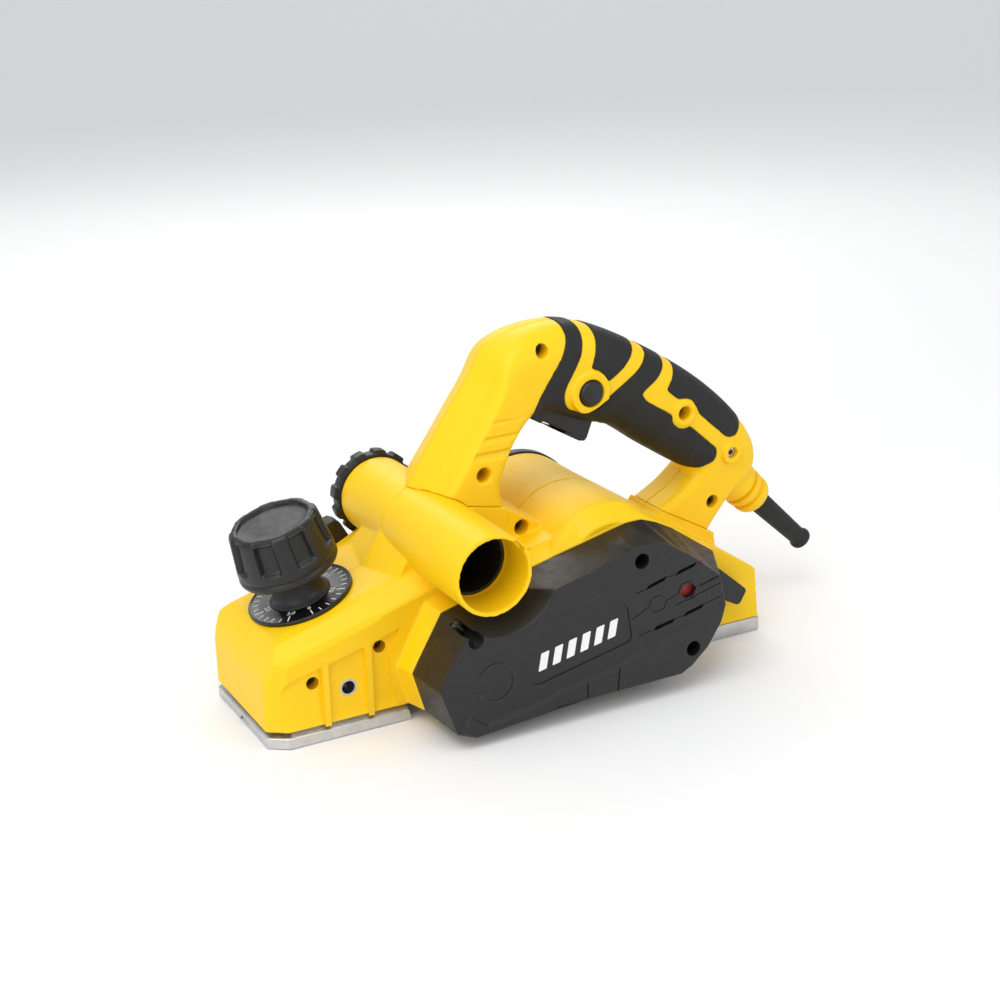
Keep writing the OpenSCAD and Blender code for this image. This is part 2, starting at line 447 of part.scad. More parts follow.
// ---- cutter drum
module drum_frame() translate([drum_x, 0, drum_z]) children();
module cutter_drum() color([0.66, 0.67, 0.68]) at_toe() difference() {
  cyl_y(drum_x, drum_z, -hw + 0.6, hw - 0.6, drum_r);
  cyl_y(drum_x, drum_z, -50, 50, 5.02);
  drum_frame() for (a = [0, 180]) rotate([0, a, 0]) {
    translate([18, -50, -2]) cube([14, 100, 9.4]);
    for (y = [-28, 0, 28]) translate([12, y, 3]) rotate([0, 90, 0]) cylinder(h = 8, r = 2.1);
  }
}
module blades() color([0.8, 0.81, 0.82]) at_toe() drum_frame() for (a = [0, 180]) rotate([0, a, 0])
  prism(-hw + 0.8, hw - 0.8, [[20.4, -1.9], [cut_r, -1.9], [cut_r - 1.2, -0.7], [20.4, -0.7]]);
module blade_clamps() color([0.5, 0.5, 0.52]) at_toe() difference() {
  drum_frame() for (a = [0, 180]) rotate([0, a, 0]) prism(-hw + 0.9, hw - 0.9, [[18.1, -0.6], [26.2, -0.6], [25.6, 7.2], [18.1, 7.2]]);
  drum_frame() for (a = [0, 180], y = [-28, 0, 28]) rotate([0, a, 0]) translate([12, y, 3]) rotate([0, 90, 0]) { cylinder(h = 20, r = 2.1); translate([0, 0, 9]) cylinder(h = 20, r = 3.7); }
}
module blade_screws() color([0.3, 0.3, 0.32]) at_toe() drum_frame() for (a = [0, 180], y = [-28, 0, 28]) rotate([0, a, 0]) translate([12.2, y, 3]) rotate([0, 90, 0]) difference() {
  union() { cylinder(h = 12, r = 2); translate([0, 0, 9]) cylinder(h = 3.6, r = 3.5); }
  translate([0, 0, 10.6]) cylinder(h = 4, r = 1.8, $fn = 6);
}
module drum_shaft() color([0.6, 0.6, 0.62]) at_toe() {
  cyl_y(drum_x, drum_z, -41.6, 41, 5);
  cyl_y(drum_x, drum_z, -77, 48, 4);
}
module bearing(x, z, y0, y1, ro, ri) {
  difference() { cyl_y(x, z, y0, y1, ro); cyl_y(x, z, y0 - 1, y1 + 1, ro - 2); }
  difference() { cyl_y(x, z, y0 + 0.4, y1 - 0.4, ro - 2); cyl_y(x, z, y0 - 1, y1 + 1, ri + 2); }
  difference() { cyl_y(x, z, y0, y1, ri + 2); cyl_y(x, z, y0 - 1, y1 + 1, ri); }
}
module drum_bearings() color([0.7, 0.71, 0.72]) at_toe() {
  bearing(drum_x, drum_z, -50.5, -43.5, 11, 4.03);
  bearing(drum_x, drum_z, 41.3, 48.3, 11, 4.03);
}
module grooved(x, z, y0, y1, r, bore, n) difference() {
  union() { cyl_y(x, z, y0, y1, r); cyl_y(x, z, y0, y0 + 1.2, r + 1.6); cyl_y(x, z, y1 - 1.2, y1, r + 1.6); }
  cyl_y(x, z, y0 - 1, y1 + 1, bore);
}
module driven_pulley() color([0.15, 0.15, 0.16]) at_toe() difference() {
  grooved(drum_x, drum_z, -77.5, -59, pulley_drum_r, 4.03, 5);
  for (i = [0:5]) translate([drum_x, -80, drum_z]) rotate([0, 60 * i, 0]) translate([10.6, 0, 0]) rotate([-90, 0, 0]) cylinder(h = 30, r = 2.8);
}
module drive_pulley() color([0.5, 0.5, 0.52]) at_toe() grooved(mot_x, mot_z, -77.5, -59, pulley_drive_r, 4.03, 5);
ba = atan2(mot_z - drum_z, mot_x - drum_x);
bd = sqrt((mot_x - drum_x) * (mot_x - drum_x) + (mot_z - drum_z) * (mot_z - drum_z));
bs = asin((pulley_drum_r - pulley_drive_r) / bd);
function loop(o) = concat(arc(mot_x, mot_z, pulley_drive_r + o, ba - 90 + bs, ba + 90 - bs, 20), arc(drum_x, drum_z, pulley_drum_r + o, ba + 90 - bs, ba + 270 + bs, 28));
module drive_belt() color([0.12, 0.12, 0.12]) at_toe() difference() {
  prism(-76, -60.5, loop(2.6));
  prism(-78, -58, loop(0.12));
}

// ---- motor
module armature_shaft() color([0.62, 0.62, 0.64]) at_toe() cyl_y(mot_x, mot_z, -78.5, 55.5, 4);
module armature_core() color([0.35, 0.34, 0.34]) at_toe() difference() {
  union() { cyl_y(mot_x, mot_z, -12, 28, 15.4); cyl_y(mot_x, mot_z, -17, 31, 11); }
  cyl_y(mot_x, mot_z, -30, 50, 4.03);
  for (i = [0:11]) translate([mot_x, 0, mot_z]) rotate([0, 30 * i, 0]) translate([12, -13, -1]) cube([5, 42, 2]);
}
module commutator() color([0.72, 0.45, 0.25]) at_toe() difference() {
  cyl_y(mot_x, mot_z, 32, 42.5, 9.6);
  cyl_y(mot_x, mot_z, 30, 50, 4.03);
}
module cooling_fan() color([0.2, 0.2, 0.21]) at_toe() difference() {
  union() {
    cyl_y(mot_x, mot_z, -36.5, -34.5, 30.5);
    cyl_y(mot_x, mot_z, -36.5, -24, 8);
    for (i = [0:14]) translate([mot_x, 0, mot_z]) rotate([0, 24 * i, 0]) translate([13, -35, -0.7]) cube([16.5, 11, 1.4]);
  }
  cyl_y(mot_x, mot_z, -40, -20, 4.03);
}
module motor_bearings() color([0.7, 0.71, 0.72]) at_toe() {
  bearing(mot_x, mot_z, -50.5, -43.5, 11, 4.03);
  bearing(mot_x, mot_z, 51, 57, 9.5, 4.03);
}
module stator_core() color([0.45, 0.45, 0.46]) at_toe() difference() {
  cyl_y(mot_x, mot_z, -14, 30, stator_r);
  cyl_y(mot_x, mot_z, -20, 40, 16.2);
  for (s = [-1, 1]) translate([mot_x - 13, -20, mot_z + s * 18.5 - 5]) cube([26, 60, 10]);
}
module field_coils() color([0.72, 0.42, 0.2]) at_toe() for (s = [-1, 1]) translate([mot_x, 0, mot_z + s * 19]) difference() {
  translate([-12.6, -22, -4.2]) cube([25.2, 60 - 2, 8.4]);
  translate([-7, -13.8, -10]) cube([14, 42, 20]);
}
module fan_baffle() color(BLK) at_toe() difference() { cyl_y(mot_x, mot_z, -23.6, -22.2, 33.4); cyl_y(mot_x, mot_z, -30, -10, 22); }
module brush_holders() color([0.75, 0.62, 0.3]) at_toe() for (s = [0, 180]) translate([mot_x, 37.3, mot_z]) rotate([0, s, 0]) difference() {
  translate([12, -4.5, -5.5]) cube([18, 9, 11]);
  translate([10, -3.1, -4.1]) cube([30, 6.2, 8.2]);
}
module carbon_brushes() color([0.15, 0.15, 0.15]) at_toe() for (s = [0, 180]) translate([mot_x, 37.3, mot_z]) rotate([0, s, 0])
  translate([9.8, -3, -4]) cube([10, 6, 8]);
module brush_springs() color([0.7, 0.7, 0.7]) at_toe() for (s = [0, 180]) translate([mot_x, 37.3, mot_z]) rotate([0, s, 0])
  translate([20.6, 0, 0]) rotate([0, 90, 0]) coil(2, 0.35, 8, 4);

// ---- switch, trigger and lock
module power_switch() color([0.16, 0.16, 0.17]) at_toe() difference() {
  prism(-8.5, 8.5, [[178, 156], [180.5, 167.5], [204, 163.5], [217, 156], [213, 141.8], [206.8, 143.2]]);
  cyl_y(193.6, 146.5, -20, -5.9, 7.4);
}
module trigger() color(BLK) at_toe() difference() {
  prism(-9.3, 9.3, TRIG);
  cyl_y(TRIG_PX, TRIG_PZ, -20, 20, 2.06);
}
module trigger_pin() color([0.6, 0.6, 0.62]) at_toe() cyl_y(TRIG_PX, TRIG_PZ, -9.6, 9.6, 2);
module trigger_spring() color([0.7, 0.7, 0.72]) at_toe() translate([183.2, 0, 141.8]) rotate([0, 25.2, 0]) coil(2.6, 0.4, 10.1, 5);
module lock_button() color(BLK) at_toe() translate([193.6, 0, 146.5]) rotate([90, 0, 0]) rotate_extrude() polygon([[0, 9], [3, 9], [3, 11.9], [6.92, 11.9], [6.92, 20], [6.2, 21.4], [4.6, 22.3], [0, 22.8]]);
module lock_spring() color([0.7, 0.7, 0.72]) at_toe() translate([193.6, -11.5, 146.5]) rotate([-90, 0, 0]) coil(4.2, 0.35, 5.2, 3);
module capacitor() color([0.75, 0.75, 0.3]) at_toe() translate([232, -16, 16]) cube([26, 14, 18]);
module cable_clamp() color(BLK) at_toe() translate([262, -8, 14]) difference() { cube([12, 16, 7]); translate([-1, 5, -1]) cube([14, 6, 4]); }

// ---- cord guard
module cord_guard() color(BLK) at_toe() cord_axis() difference() {
  translate([0, 0, 9]) rotate_extrude() polygon([[3.7, 0], [8.2, 0], [8.2, 5], [6.5, 5], [6.5, 20], [5.6, 56.5], [6.9, 57.5], [7.1, 61], [6.3, 62], [3.7, 62]]);
}

// ---- parking foot
module parking_foot() color(BLK) at_toe() difference() {
  union() {
    prism(-50, -43, [[218, 47], [226, 47.6], [255, 46.5], [272.3, 31.4], [272.8, 29.6], [269.2, 23.4], [267, 22.8], [258, 27.6], [240, 33.5], [222, 35.8], [217.6, 37.4], [215.6, 42]]);
  }
  cyl_y(foot_x, foot_z, -60, -40, 2.58);
  cyl_y(foot_x, foot_z, -44.9, -40, 5.4);
}
module foot_pin() color([0.6, 0.6, 0.62]) at_toe() cyl_y(foot_x, foot_z, -51.9, -37.4, 2.5);
module foot_spring() color([0.7, 0.7, 0.72]) at_toe() translate([foot_x, -44.4, foot_z]) rotate([-90, 0, 0]) coil(3.9, 0.4, 1.3, 1);

// ---- rebate depth stop
module depth_stop() color(BLK) at_toe() difference() {
  union() {
    prism(50.3, 54.8, [[75, 20], [89, 20], [87.5, 62], [84, 66], [75, 66]]);
    prism(50.3, 60.5, [[70, 64.6], [85, 64.6], [84, 67.6], [79.5, 75.5], [76, 77], [70.5, 75]]);
    prism(50.3, 62, [[73, 15], [91, 15], [91, 20.4], [73, 20.4]]);
  }
  prism(49, 56, [[78.9, 37], [85.1, 37], [85.1, 62], [78.9, 62]]);
}
module depth_stop_knob() color(BLK) at_toe() {
  cyl_y(82, 40, 44.1, 56, 2.6);
  difference() {
    cyl_y(82, 40, 55, 62.5, 9.5);
    for (i = [0:7]) translate([82, 50, 40]) rotate([0, 45 * i, 0]) translate([11.6, 0, 0]) rotate([-90, 0, 0]) cylinder(h = 20, r = 3.4);
  }
}

// ---- fasteners
module screw_y(x, z, yh, y1, rh, rs) { cyl_y(x, z, yh, yh + 2.6, rh); cyl_y(x, z, yh + 1, y1, rs); }
module housing_screws() color([0.35, 0.35, 0.37]) at_toe() {
  screw_y(23.8, 31.6, -32.8, 28, 3.9, 2);
  screw_y(60.1, 42.7, -32.8, 28, 3.9, 2);
  screw_y(148.3, 83.6, -18.8, 16, 3.9, 2);
}
module handle_screws() color([0.35, 0.35, 0.37]) at_toe() for (h = HOLES) screw_y(h[0], h[1], -11.8, 13, 3.3, 2);
module handle_nuts() color([0.6, 0.6, 0.62]) at_toe() translate([284, -16.5, 97.6]) rotate([-90, 0, 0]) difference() { cylinder(h = 3.2, r = 3.3, $fn = 6); translate([0, 0, -1]) cylinder(h = 6, r = 1.5); }

housing_left();
housing_right();
handle_left();
handle_right();
grip_pad_left();
grip_pad_right();
belt_cover();
motor_end_cap();
front_shoe();
rear_shoe();
depth_knob();
dial_plate();
depth_screw();
knob_detent_spring();
fence_insert();
chip_sleeve();
chip_selector_cap();
cutter_drum();
drum_shaft();
blades();
blade_clamps();
blade_screws();
drum_bearings();
driven_pulley();
drive_pulley();
drive_belt();
armature_shaft();
armature_core();
commutator();
cooling_fan();
motor_bearings();
stator_core();
field_coils();
fan_baffle();
brush_holders();
carbon_brushes();
brush_springs();
power_switch();
trigger();
trigger_pin();
trigger_spring();
lock_button();
lock_spring();
capacitor();
cable_clamp();
cord_guard();
parking_foot();
foot_pin();
foot_spring();
depth_stop();
depth_stop_knob();
housing_screws();
handle_screws();
handle_nuts();
cover_screws();
base_screws();
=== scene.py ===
import bpy, bmesh, math
import numpy as np
from mathutils import Vector, Matrix


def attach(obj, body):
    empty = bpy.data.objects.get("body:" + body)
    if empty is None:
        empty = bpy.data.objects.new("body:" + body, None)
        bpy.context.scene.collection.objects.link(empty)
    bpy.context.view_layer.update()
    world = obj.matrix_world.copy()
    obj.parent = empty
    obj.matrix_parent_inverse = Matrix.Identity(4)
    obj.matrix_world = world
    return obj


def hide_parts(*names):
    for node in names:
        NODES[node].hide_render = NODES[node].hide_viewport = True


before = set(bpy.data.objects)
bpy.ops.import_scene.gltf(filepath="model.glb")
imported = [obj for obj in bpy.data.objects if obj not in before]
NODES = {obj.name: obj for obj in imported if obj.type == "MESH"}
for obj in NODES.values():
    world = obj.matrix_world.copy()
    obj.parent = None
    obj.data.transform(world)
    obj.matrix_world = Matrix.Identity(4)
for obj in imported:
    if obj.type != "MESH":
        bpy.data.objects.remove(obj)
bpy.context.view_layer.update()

S = 0.001
OX = -144.0   # toe frame (mm) to the part's frame


def P(x, y, z):
    return ((x + OX) * S, y * S, z * S)


# ------------------------------------------------------------------ mesh tools
def make(name, verts, faces, smooth=False):
    me = bpy.data.meshes.new(name)
    me.from_pydata(verts, [], faces)
    me.validate()
    me.update()
    o = bpy.data.objects.new(name, me)
    bpy.context.scene.collection.objects.link(o)
    bm = bmesh.new(); bm.from_mesh(me)
    bmesh.ops.recalc_face_normals(bm, faces=bm.faces)
    bm.to_mesh(me); bm.free()
    if smooth:
        shade(o)
    return o


def shade(o, angle=None):
    for p in o.data.polygons:
        p.use_smooth = True
    if angle is not None:
        o.data.set_sharp_from_angle(angle=math.radians(angle))


def prism(name, y0, y1, pts):
    n = len(pts)
    v = [P(x, y0, z) for x, z in pts] + [P(x, y1, z) for x, z in pts]
    f = [list(range(n)), list(range(2 * n - 1, n - 1, -1))]
    f += [[i, (i + 1) % n, n + (i + 1) % n, n + i] for i in range(n)]
    return make(name, v, f)


def prism2(name, y0, pts0, y1, pts1):
    """prism between two outlines of equal length"""
    n = len(pts0)
    v = [P(x, y0, z) for x, z in pts0] + [P(x, y1, z) for x, z in pts1]
    f = [list(range(n)), list(range(2 * n - 1, n - 1, -1))]
    f += [[i, (i + 1) % n, n + (i + 1) % n, n + i] for i in range(n)]
    return make(name, v, f)


def slab(name, z0, z1, pts):
    n = len(pts)
    v = [P(x, y, z0) for x, y in pts] + [P(x, y, z1) for x, y in pts]
    f = [list(range(n)), list(range(2 * n - 1, n - 1, -1))]
    f += [[i, (i + 1) % n, n + (i + 1) % n, n + i] for i in range(n)]
    return make(name, v, f)


def box(name, x0, x1, y0, y1, z0, z1):
    return slab(name, z0, z1, [(x0, y0), (x1, y0), (x1, y1), (x0, y1)])


def frame_to(origin, axis, ref=(0, 0, 1)):
    a = Vector(axis).normalized()
    r = Vector(ref)
    if abs(a.dot(r)) > 0.95:
        r = Vector((1, 0, 0))
    u = r.cross(a).normalized()
    w = a.cross(u)
    return Vector(origin), u, w, a


def revolve(name, origin, axis, prof, n=64, ref=(0, 0, 1), rad=None):
    """closed surface of revolution; prof is (r, h) in mm from the axis start to its end"""
    o, u, w, a = frame_to(origin, axis, ref)
    verts, faces = [], []
    rows = []
    for (r, h) in prof:
        if r < 1e-6:
            rows.append([len(verts)])
            q = o + a * h
            verts.append(P(*q))
        else:
            row = []
            for k in range(n):
                t = 2 * math.pi * k / n
                rr = r if rad is None else rad(r, h, t)
                q = o + u * (rr * math.cos(t)) + w * (rr * math.sin(t)) + a * h
                row.append(len(verts)); verts.append(P(*q))
            rows.append(row)
    for A, B in zip(rows, rows[1:]):
        if len(A) == 1 and len(B) == 1:
            continue
        for k in range(n):
            k2 = (k + 1) % n
            if len(A) == 1:
                faces.append([A[0], B[k2], B[k]])
            elif len(B) == 1:
                faces.append([A[k], A[k2], B[0]])
            else:
                faces.append([A[k], A[k2], B[k2], B[k]])
    if len(rows[0]) > 1:
        faces.append(rows[0][::-1])
    if len(rows[-1]) > 1:
        faces.append(rows[-1])
    return make(name, verts, faces)


def ring_solid(name, origin, axis, prof, n=64, ref=(0, 0, 1), rad=None):
    """like revolve, but the profile closes on itself (a hollow ring)"""
    o, u, w, a = frame_to(origin, axis, ref)
    m = len(prof)
    verts, faces = [], []
    for (r, h) in prof:
        for k in range(n):
            t = 2 * math.pi * k / n
            rr = r if rad is None else rad(r, h, t)
            q = o + u * (rr * math.cos(t)) + w * (rr * math.sin(t)) + a * h
            verts.append(P(*q))
    for i in range(m):
        j = (i + 1) % m
        for k in range(n):
            k2 = (k + 1) % n
            faces.append([i * n + k, i * n + k2, j * n + k2, j * n + k])
    return make(name, verts, faces)


def cyl(name, p0, p1, r, n=48, r1=None):
    d = Vector(p1) - Vector(p0)
    return revolve(name, p0, d, [(0, 0), (r, 0), (r if r1 is None else r1, d.length), (0, d.length)], n)


def cyl_y(name, x, z, y0, y1, r, n=48, r1=None):
    return cyl(name, (x, y0, z), (x, y1, z), r, n, r1)


def apply_mods(o):
    dg = bpy.context.evaluated_depsgraph_get()
    dg.update()
    me = bpy.data.meshes.new_from_object(o.evaluated_get(dg))
    old = o.data
    o.modifiers.clear()
    o.data = me
    if old.users == 0:
        bpy.data.meshes.remove(old)


def kill(*objs):
    for o in objs:
        me = o.data
        bpy.data.objects.remove(o)
        if me and me.users == 0:
            bpy.data.meshes.remove(me)


def boole(a, others, op="DIFFERENCE", keep=False, solver="MANIFOLD"):
    for b in others:
        m = a.modifiers.new("b", "BOOLEAN")
        m.operation = op
        m.solver = solver
        m.object = b
    before = len(a.data.polygons)
    apply_mods(a)
    if not keep:
        kill(*others)
    return a


def join(name, objs):
    bm = bmesh.new()
    for o in objs:
        me = o.data
        me2 = me.copy(); me2.transform(o.matrix_world)
        bm.from_mesh(me2)
        bpy.data.meshes.remove(me2)
    me = bpy.data.meshes.new(name)
    bm.to_mesh(me); bm.free()
    o = bpy.data.objects.new(name, me)
    bpy.context.scene.collection.objects.link(o)
    kill(*objs)
    return o


def from_cad(name, *nodes):
    """a free copy of CAD solids, welded"""
    bm = bmesh.new()
    for n in nodes:
        bm.from_mesh(NODES[n].data)
    bmesh.ops.remove_doubles(bm, verts=bm.verts, dist=2e-6)
    bmesh.ops.dissolve_degenerate(bm, edges=bm.edges, dist=1e-7)
    me = bpy.data.meshes.new(name)
    bm.to_mesh(me); bm.free()
    me.materials.clear()
    o = bpy.data.objects.new(name, me)
    bpy.context.scene.collection.objects.link(o)
    return o


def soften(o, voxel, rounds, faces=150000):
    """even mesh with every edge rounded, as moulded or cast parts have"""
    m = o.modifiers.new("r", "REMESH"); m.mode = "VOXEL"; m.voxel_size = voxel * S; m.adaptivity = 0
    if rounds:
        s = o.modifiers.new("s", "SMOOTH"); s.factor = 0.5; s.iterations = rounds
    apply_mods(o)
    k = len(o.data.polygons)
    if k * 2 > faces:
        d = o.modifiers.new("d", "DECIMATE"); d.ratio = faces / (k * 2.0)
        apply_mods(o)
    shade(o)
    return o


def bevel(o, width, segs=2, angle=35):
    b = o.modifiers.new("bv", "BEVEL"); b.width = width * S; b.segments = segs
    b.limit_method = "ANGLE"; b.angle_limit = math.radians(angle); b.use_clamp_overlap = True
    b.harden_normals = False
    apply_mods(o)
    shade(o, 40)
    return o


# ------------------------------------------------------------------ materials
def srgb(r, g, b):
    f = lambda c: c / 12.92 if c <= 0.04045 else ((c + 0.055) / 1.055) ** 2.4
    return (f(r / 255), f(g / 255), f(b / 255), 1)


def material(name, color, rough=(0.4, 0.5), metal=0.0, grain=0.0, grain_scale=3000, blotch=0.05, blotch_scale=60,
             wear=0.0, wear_color=None, spec=0.5, coat=0.0, streak=None, sss=0.0):
    """moulded, cast or ground surface: colour variation, roughness variation, grain in the bump, worn edges"""
    m = bpy.data.materials.new(name); m.use_nodes = True
    nt = m.node_tree; N = nt.nodes; L = nt.links
    N.clear()
    out = N.new("ShaderNodeOutputMaterial"); b = N.new("ShaderNodeBsdfPrincipled")
    L.new(b.outputs[0], out.inputs[0])
    tc = N.new("ShaderNodeTexCoord")
    n1 = N.new("ShaderNodeTexNoise"); n1.inputs["Scale"].default_value = blotch_scale; n1.inputs["Detail"].default_value = 4
    L.new(tc.outputs["Object"], n1.inputs["Vector"])
    mix = N.new("ShaderNodeMix"); mix.data_type = "RGBA"
    dark = tuple(c * (1 - blotch * 2) for c in color[:3]) + (1,)
    lite = tuple(min(1, c * (1 + blotch)) for c in color[:3]) + (1,)
    mix.inputs[6].default_value = dark; mix.inputs[7].default_value = lite
    L.new(n1.outputs["Fac"], mix.inputs[0])
    col = mix.outputs[2]
    if wear > 0:
        g = N.new("ShaderNodeNewGeometry")
        r = N.new("ShaderNodeValToRGB")
        r.color_ramp.elements[0].position = 0.53; r.color_ramp.elements[0].color = (0, 0, 0, 1)
        r.color_ramp.elements[1].position = 0.62; r.color_ramp.elements[1].color = (1, 1, 1, 1)
        L.new(g.outputs["Pointiness"], r.inputs[0])
        n3 = N.new("ShaderNodeTexNoise"); n3.inputs["Scale"].default_value = 400; n3.inputs["Detail"].default_value = 5
        L.new(tc.outputs["Object"], n3.inputs["Vector"])
        mu = N.new("ShaderNodeMath"); mu.operation = "MULTIPLY"
        L.new(r.outputs[0], mu.inputs[0]); L.new(n3.outputs["Fac"], mu.inputs[1])
        m2 = N.new("ShaderNodeMath"); m2.operation = "MULTIPLY"; m2.inputs[1].default_value = wear
        L.new(mu.outputs[0], m2.inputs[0])
        mx = N.new("ShaderNodeMix"); mx.data_type = "RGBA"
        wc = wear_color or tuple(min(1, c * 1.5 + 0.02) for c in color[:3]) + (1,)
        mx.inputs[7].default_value = wc
        L.new(m2.outputs[0], mx.inputs[0]); L.new(col, mx.inputs[6])
        col = mx.outputs[2]
    L.new(col, b.inputs["Base Color"])
    mr = N.new("ShaderNodeMapRange"); mr.inputs["To Min"].default_value = rough[0]; mr.inputs["To Max"].default_value = rough[1]
    mr.inputs["From Min"].default_value = 0.3; mr.inputs["From Max"].default_value = 0.7
    n2 = N.new("ShaderNodeTexNoise"); n2.inputs["Scale"].default_value = blotch_scale * 4; n2.inputs["Detail"].default_value = 3
    L.new(tc.outputs["Object"], n2.inputs["Vector"]); L.new(n2.outputs["Fac"], mr.inputs["Value"])
    L.new(mr.outputs[0], b.inputs["Roughness"])
    b.inputs["Metallic"].default_value = metal
    b.inputs["Specular IOR Level"].default_value = spec
    if coat:
        b.inputs["Coat Weight"].default_value = coat; b.inputs["Coat Roughness"].default_value = 0.3
    if sss:
        b.inputs["Subsurface Weight"].default_value = sss
        b.inputs["Subsurface Radius"].default_value = (1.0, 0.6, 0.1); b.inputs["Subsurface Scale"].default_value = 0.0008
    h = None
    if grain:
        n4 = N.new("ShaderNodeTexNoise"); n4.inputs["Scale"].default_value = grain_scale; n4.inputs["Detail"].default_value = 2
        L.new(tc.outputs["Object"], n4.inputs["Vector"])
        bp = N.new("ShaderNodeBump"); bp.inputs["Strength"].default_value = grain; bp.inputs["Distance"].default_value = 0.0002
        L.new(n4.outputs["Fac"], bp.inputs["Height"])
        h = bp
    if streak:
        mp = N.new("ShaderNodeMapping"); mp.inputs["Scale"].default_value = streak
        L.new(tc.outputs["Object"], mp.inputs["Vector"])
        n5 = N.new("ShaderNodeTexNoise"); n5.inputs["Scale"].default_value = 1.0; n5.inputs["Detail"].default_value = 3
        L.new(mp.outputs[0], n5.inputs["Vector"])
        bp2 = N.new("ShaderNodeBump"); bp2.inputs["Strength"].default_value = 0.25; bp2.inputs["Distance"].default_value = 0.0002
        L.new(n5.outputs["Fac"], bp2.inputs["Height"])
        if h:
            L.new(h.outputs[0], bp2.inputs["Normal"])
        h = bp2
    if h:
        L.new(h.outputs[0], b.inputs["Normal"])
    return m


YEL = srgb(252, 193, 0)
M = {}
M["yellow"] = material("yellow_plastic", (0.93, 0.585, 0.004, 1), (0.40, 0.50), grain=0.12, grain_scale=2600, blotch=0.02,
                       wear=0.35, wear_color=(0.97, 0.64, 0.03, 1), spec=0.3, sss=0.04)
# painted shade: a darker, redder yellow that stands in for the shadow inside the screw wells
M["yellow_well_shade"] = material("yellow_painted_shade", (0.80, 0.22, 0.003, 1), (0.4, 0.5), grain=0.1, blotch=0.03)
M["black"] = material("black_plastic", (0.0085, 0.0085, 0.0088, 1), (0.40, 0.52), grain=0.25, grain_scale=2200, blotch=0.12,
                      wear=0.5, wear_color=(0.05, 0.05, 0.052, 1))
M["knob"] = material("knob_plastic", (0.0065, 0.0065, 0.0068, 1), (0.34, 0.46), grain=0.3, grain_scale=2600, blotch=0.1,
                     wear=0.5, wear_color=(0.05, 0.05, 0.052, 1))
M["rubber"] = material("soft_rubber", (0.011, 0.0108, 0.0105, 1), (0.55, 0.7), grain=0.5, grain_scale=1700, blotch=0.15,
                       wear=0.4, wear_color=(0.045, 0.045, 0.046, 1), spec=0.4)
M["cast"] = material("cast_aluminium", (0.60, 0.60, 0.595, 1), (0.34, 0.55), 1.0, grain=0.5, grain_scale=900, blotch=0.12,
                     blotch_scale=150, wear=0.5, wear_color=(0.9, 0.9, 0.9, 1), streak=(700, 60, 60))
M["machined"] = material("machined_aluminium", (0.72, 0.72, 0.72, 1), (0.2, 0.34), 1.0, blotch=0.05, streak=(40, 1600, 40))
M["steel"] = material("turned_steel", (0.55, 0.55, 0.56, 1), (0.22, 0.36), 1.0, blotch=0.06, streak=(300, 2500, 300))
M["dark_steel"] = material("blackened_steel", (0.10, 0.10, 0.105, 1), (0.35, 0.5), 1.0, grain=0.2, blotch=0.1)
M["blade"] = material("ground_steel", (0.75, 0.76, 0.77, 1), (0.12, 0.25), 1.0, blotch=0.04, streak=(2000, 60, 2000))
M["dial"] = material("dial_black", (0.0045, 0.0045, 0.0048, 1), (0.26, 0.36), grain=0.1, blotch=0.1, wear=0.4)
M["white"] = material("white_print", (0.86, 0.86, 0.85, 1), (0.4, 0.5), blotch=0.02)
M["red"] = material("red_insulator", (0.33, 0.018, 0.012, 1), (0.4, 0.5), blotch=0.1)
M["copper"] = material("copper", (0.72, 0.30, 0.13, 1), (0.25, 0.4), 1.0, blotch=0.1, streak=(200, 2000, 200))
M["brass"] = material("brass", (0.78, 0.55, 0.22, 1), (0.25, 0.4), 1.0, blotch=0.08)
M["iron"] = material("iron_sheets", (0.22, 0.215, 0.21, 1), (0.45, 0.6), 0.9, blotch=0.15, streak=(30, 2600, 30))
M["carbon"] = material("carbon", (0.03, 0.03, 0.03, 1), (0.5, 0.6), blotch=0.1, grain=0.3)
M["belt"] = material("belt_rubber", (0.015, 0.015, 0.015, 1), (0.6, 0.7), blotch=0.1, streak=(60, 1200, 60))
M["amber"] = material("resin_case", (0.62, 0.50, 0.10, 1), (0.25, 0.35), blotch=0.05, grain=0.1)


def paint(o, key):
    o.data.materials.clear()
    o.data.materials.append(M[key])
    return o


def piece(o, key, body, slot, *nodes):
    paint(o, key)
    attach(o, body)
    if nodes:
        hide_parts(*nodes)
    return o


def pick(o, key, test):
    """second material on the faces whose centre (toe mm) and normal pass the test"""
    o.data.materials.append(M[key])
    k = len(o.data.materials) - 1
    for p in o.data.polygons:
        c = p.center
        if test(c.x / S - OX, c.y / S, c.z / S, p.normal):
            p.material_index = k


# ------------------------------------------------------------------ camera, light, floor
az, el, roll = math.radians(-27.72), math.radians(20.10), math.radians(-1.35)
back = Vector((math.sin(az) * math.cos(el), -math.cos(az) * math.cos(el), math.sin(el)))
fwd = -back
right = fwd.cross(Vector((0, 0, 1))).normalized()
up = right.cross(fwd)
r2 = right * math.cos(roll) + up * math.sin(roll)
u2 = up * math.cos(roll) - right * math.sin(roll)
cam_d = bpy.data.cameras.new("cam"); cam = bpy.data.objects.new("cam", cam_d)
bpy.context.scene.collection.objects.link(cam)
cam.matrix_world = Matrix(((r2.x, u2.x, back.x, -0.4087), (r2.y, u2.y, back.y, -0.7886), (r2.z, u2.z, back.z, 0.4163), (0, 0, 0, 1)))
cam_d.lens = 65.22; cam_d.sensor_width = 36; cam_d.clip_start = 0.01; cam_d.clip_end = 50
bpy.context.scene.camera = cam
bpy.context.scene.view_settings.view_transform = "Standard"
bpy.context.scene.view_settings.look = "None"

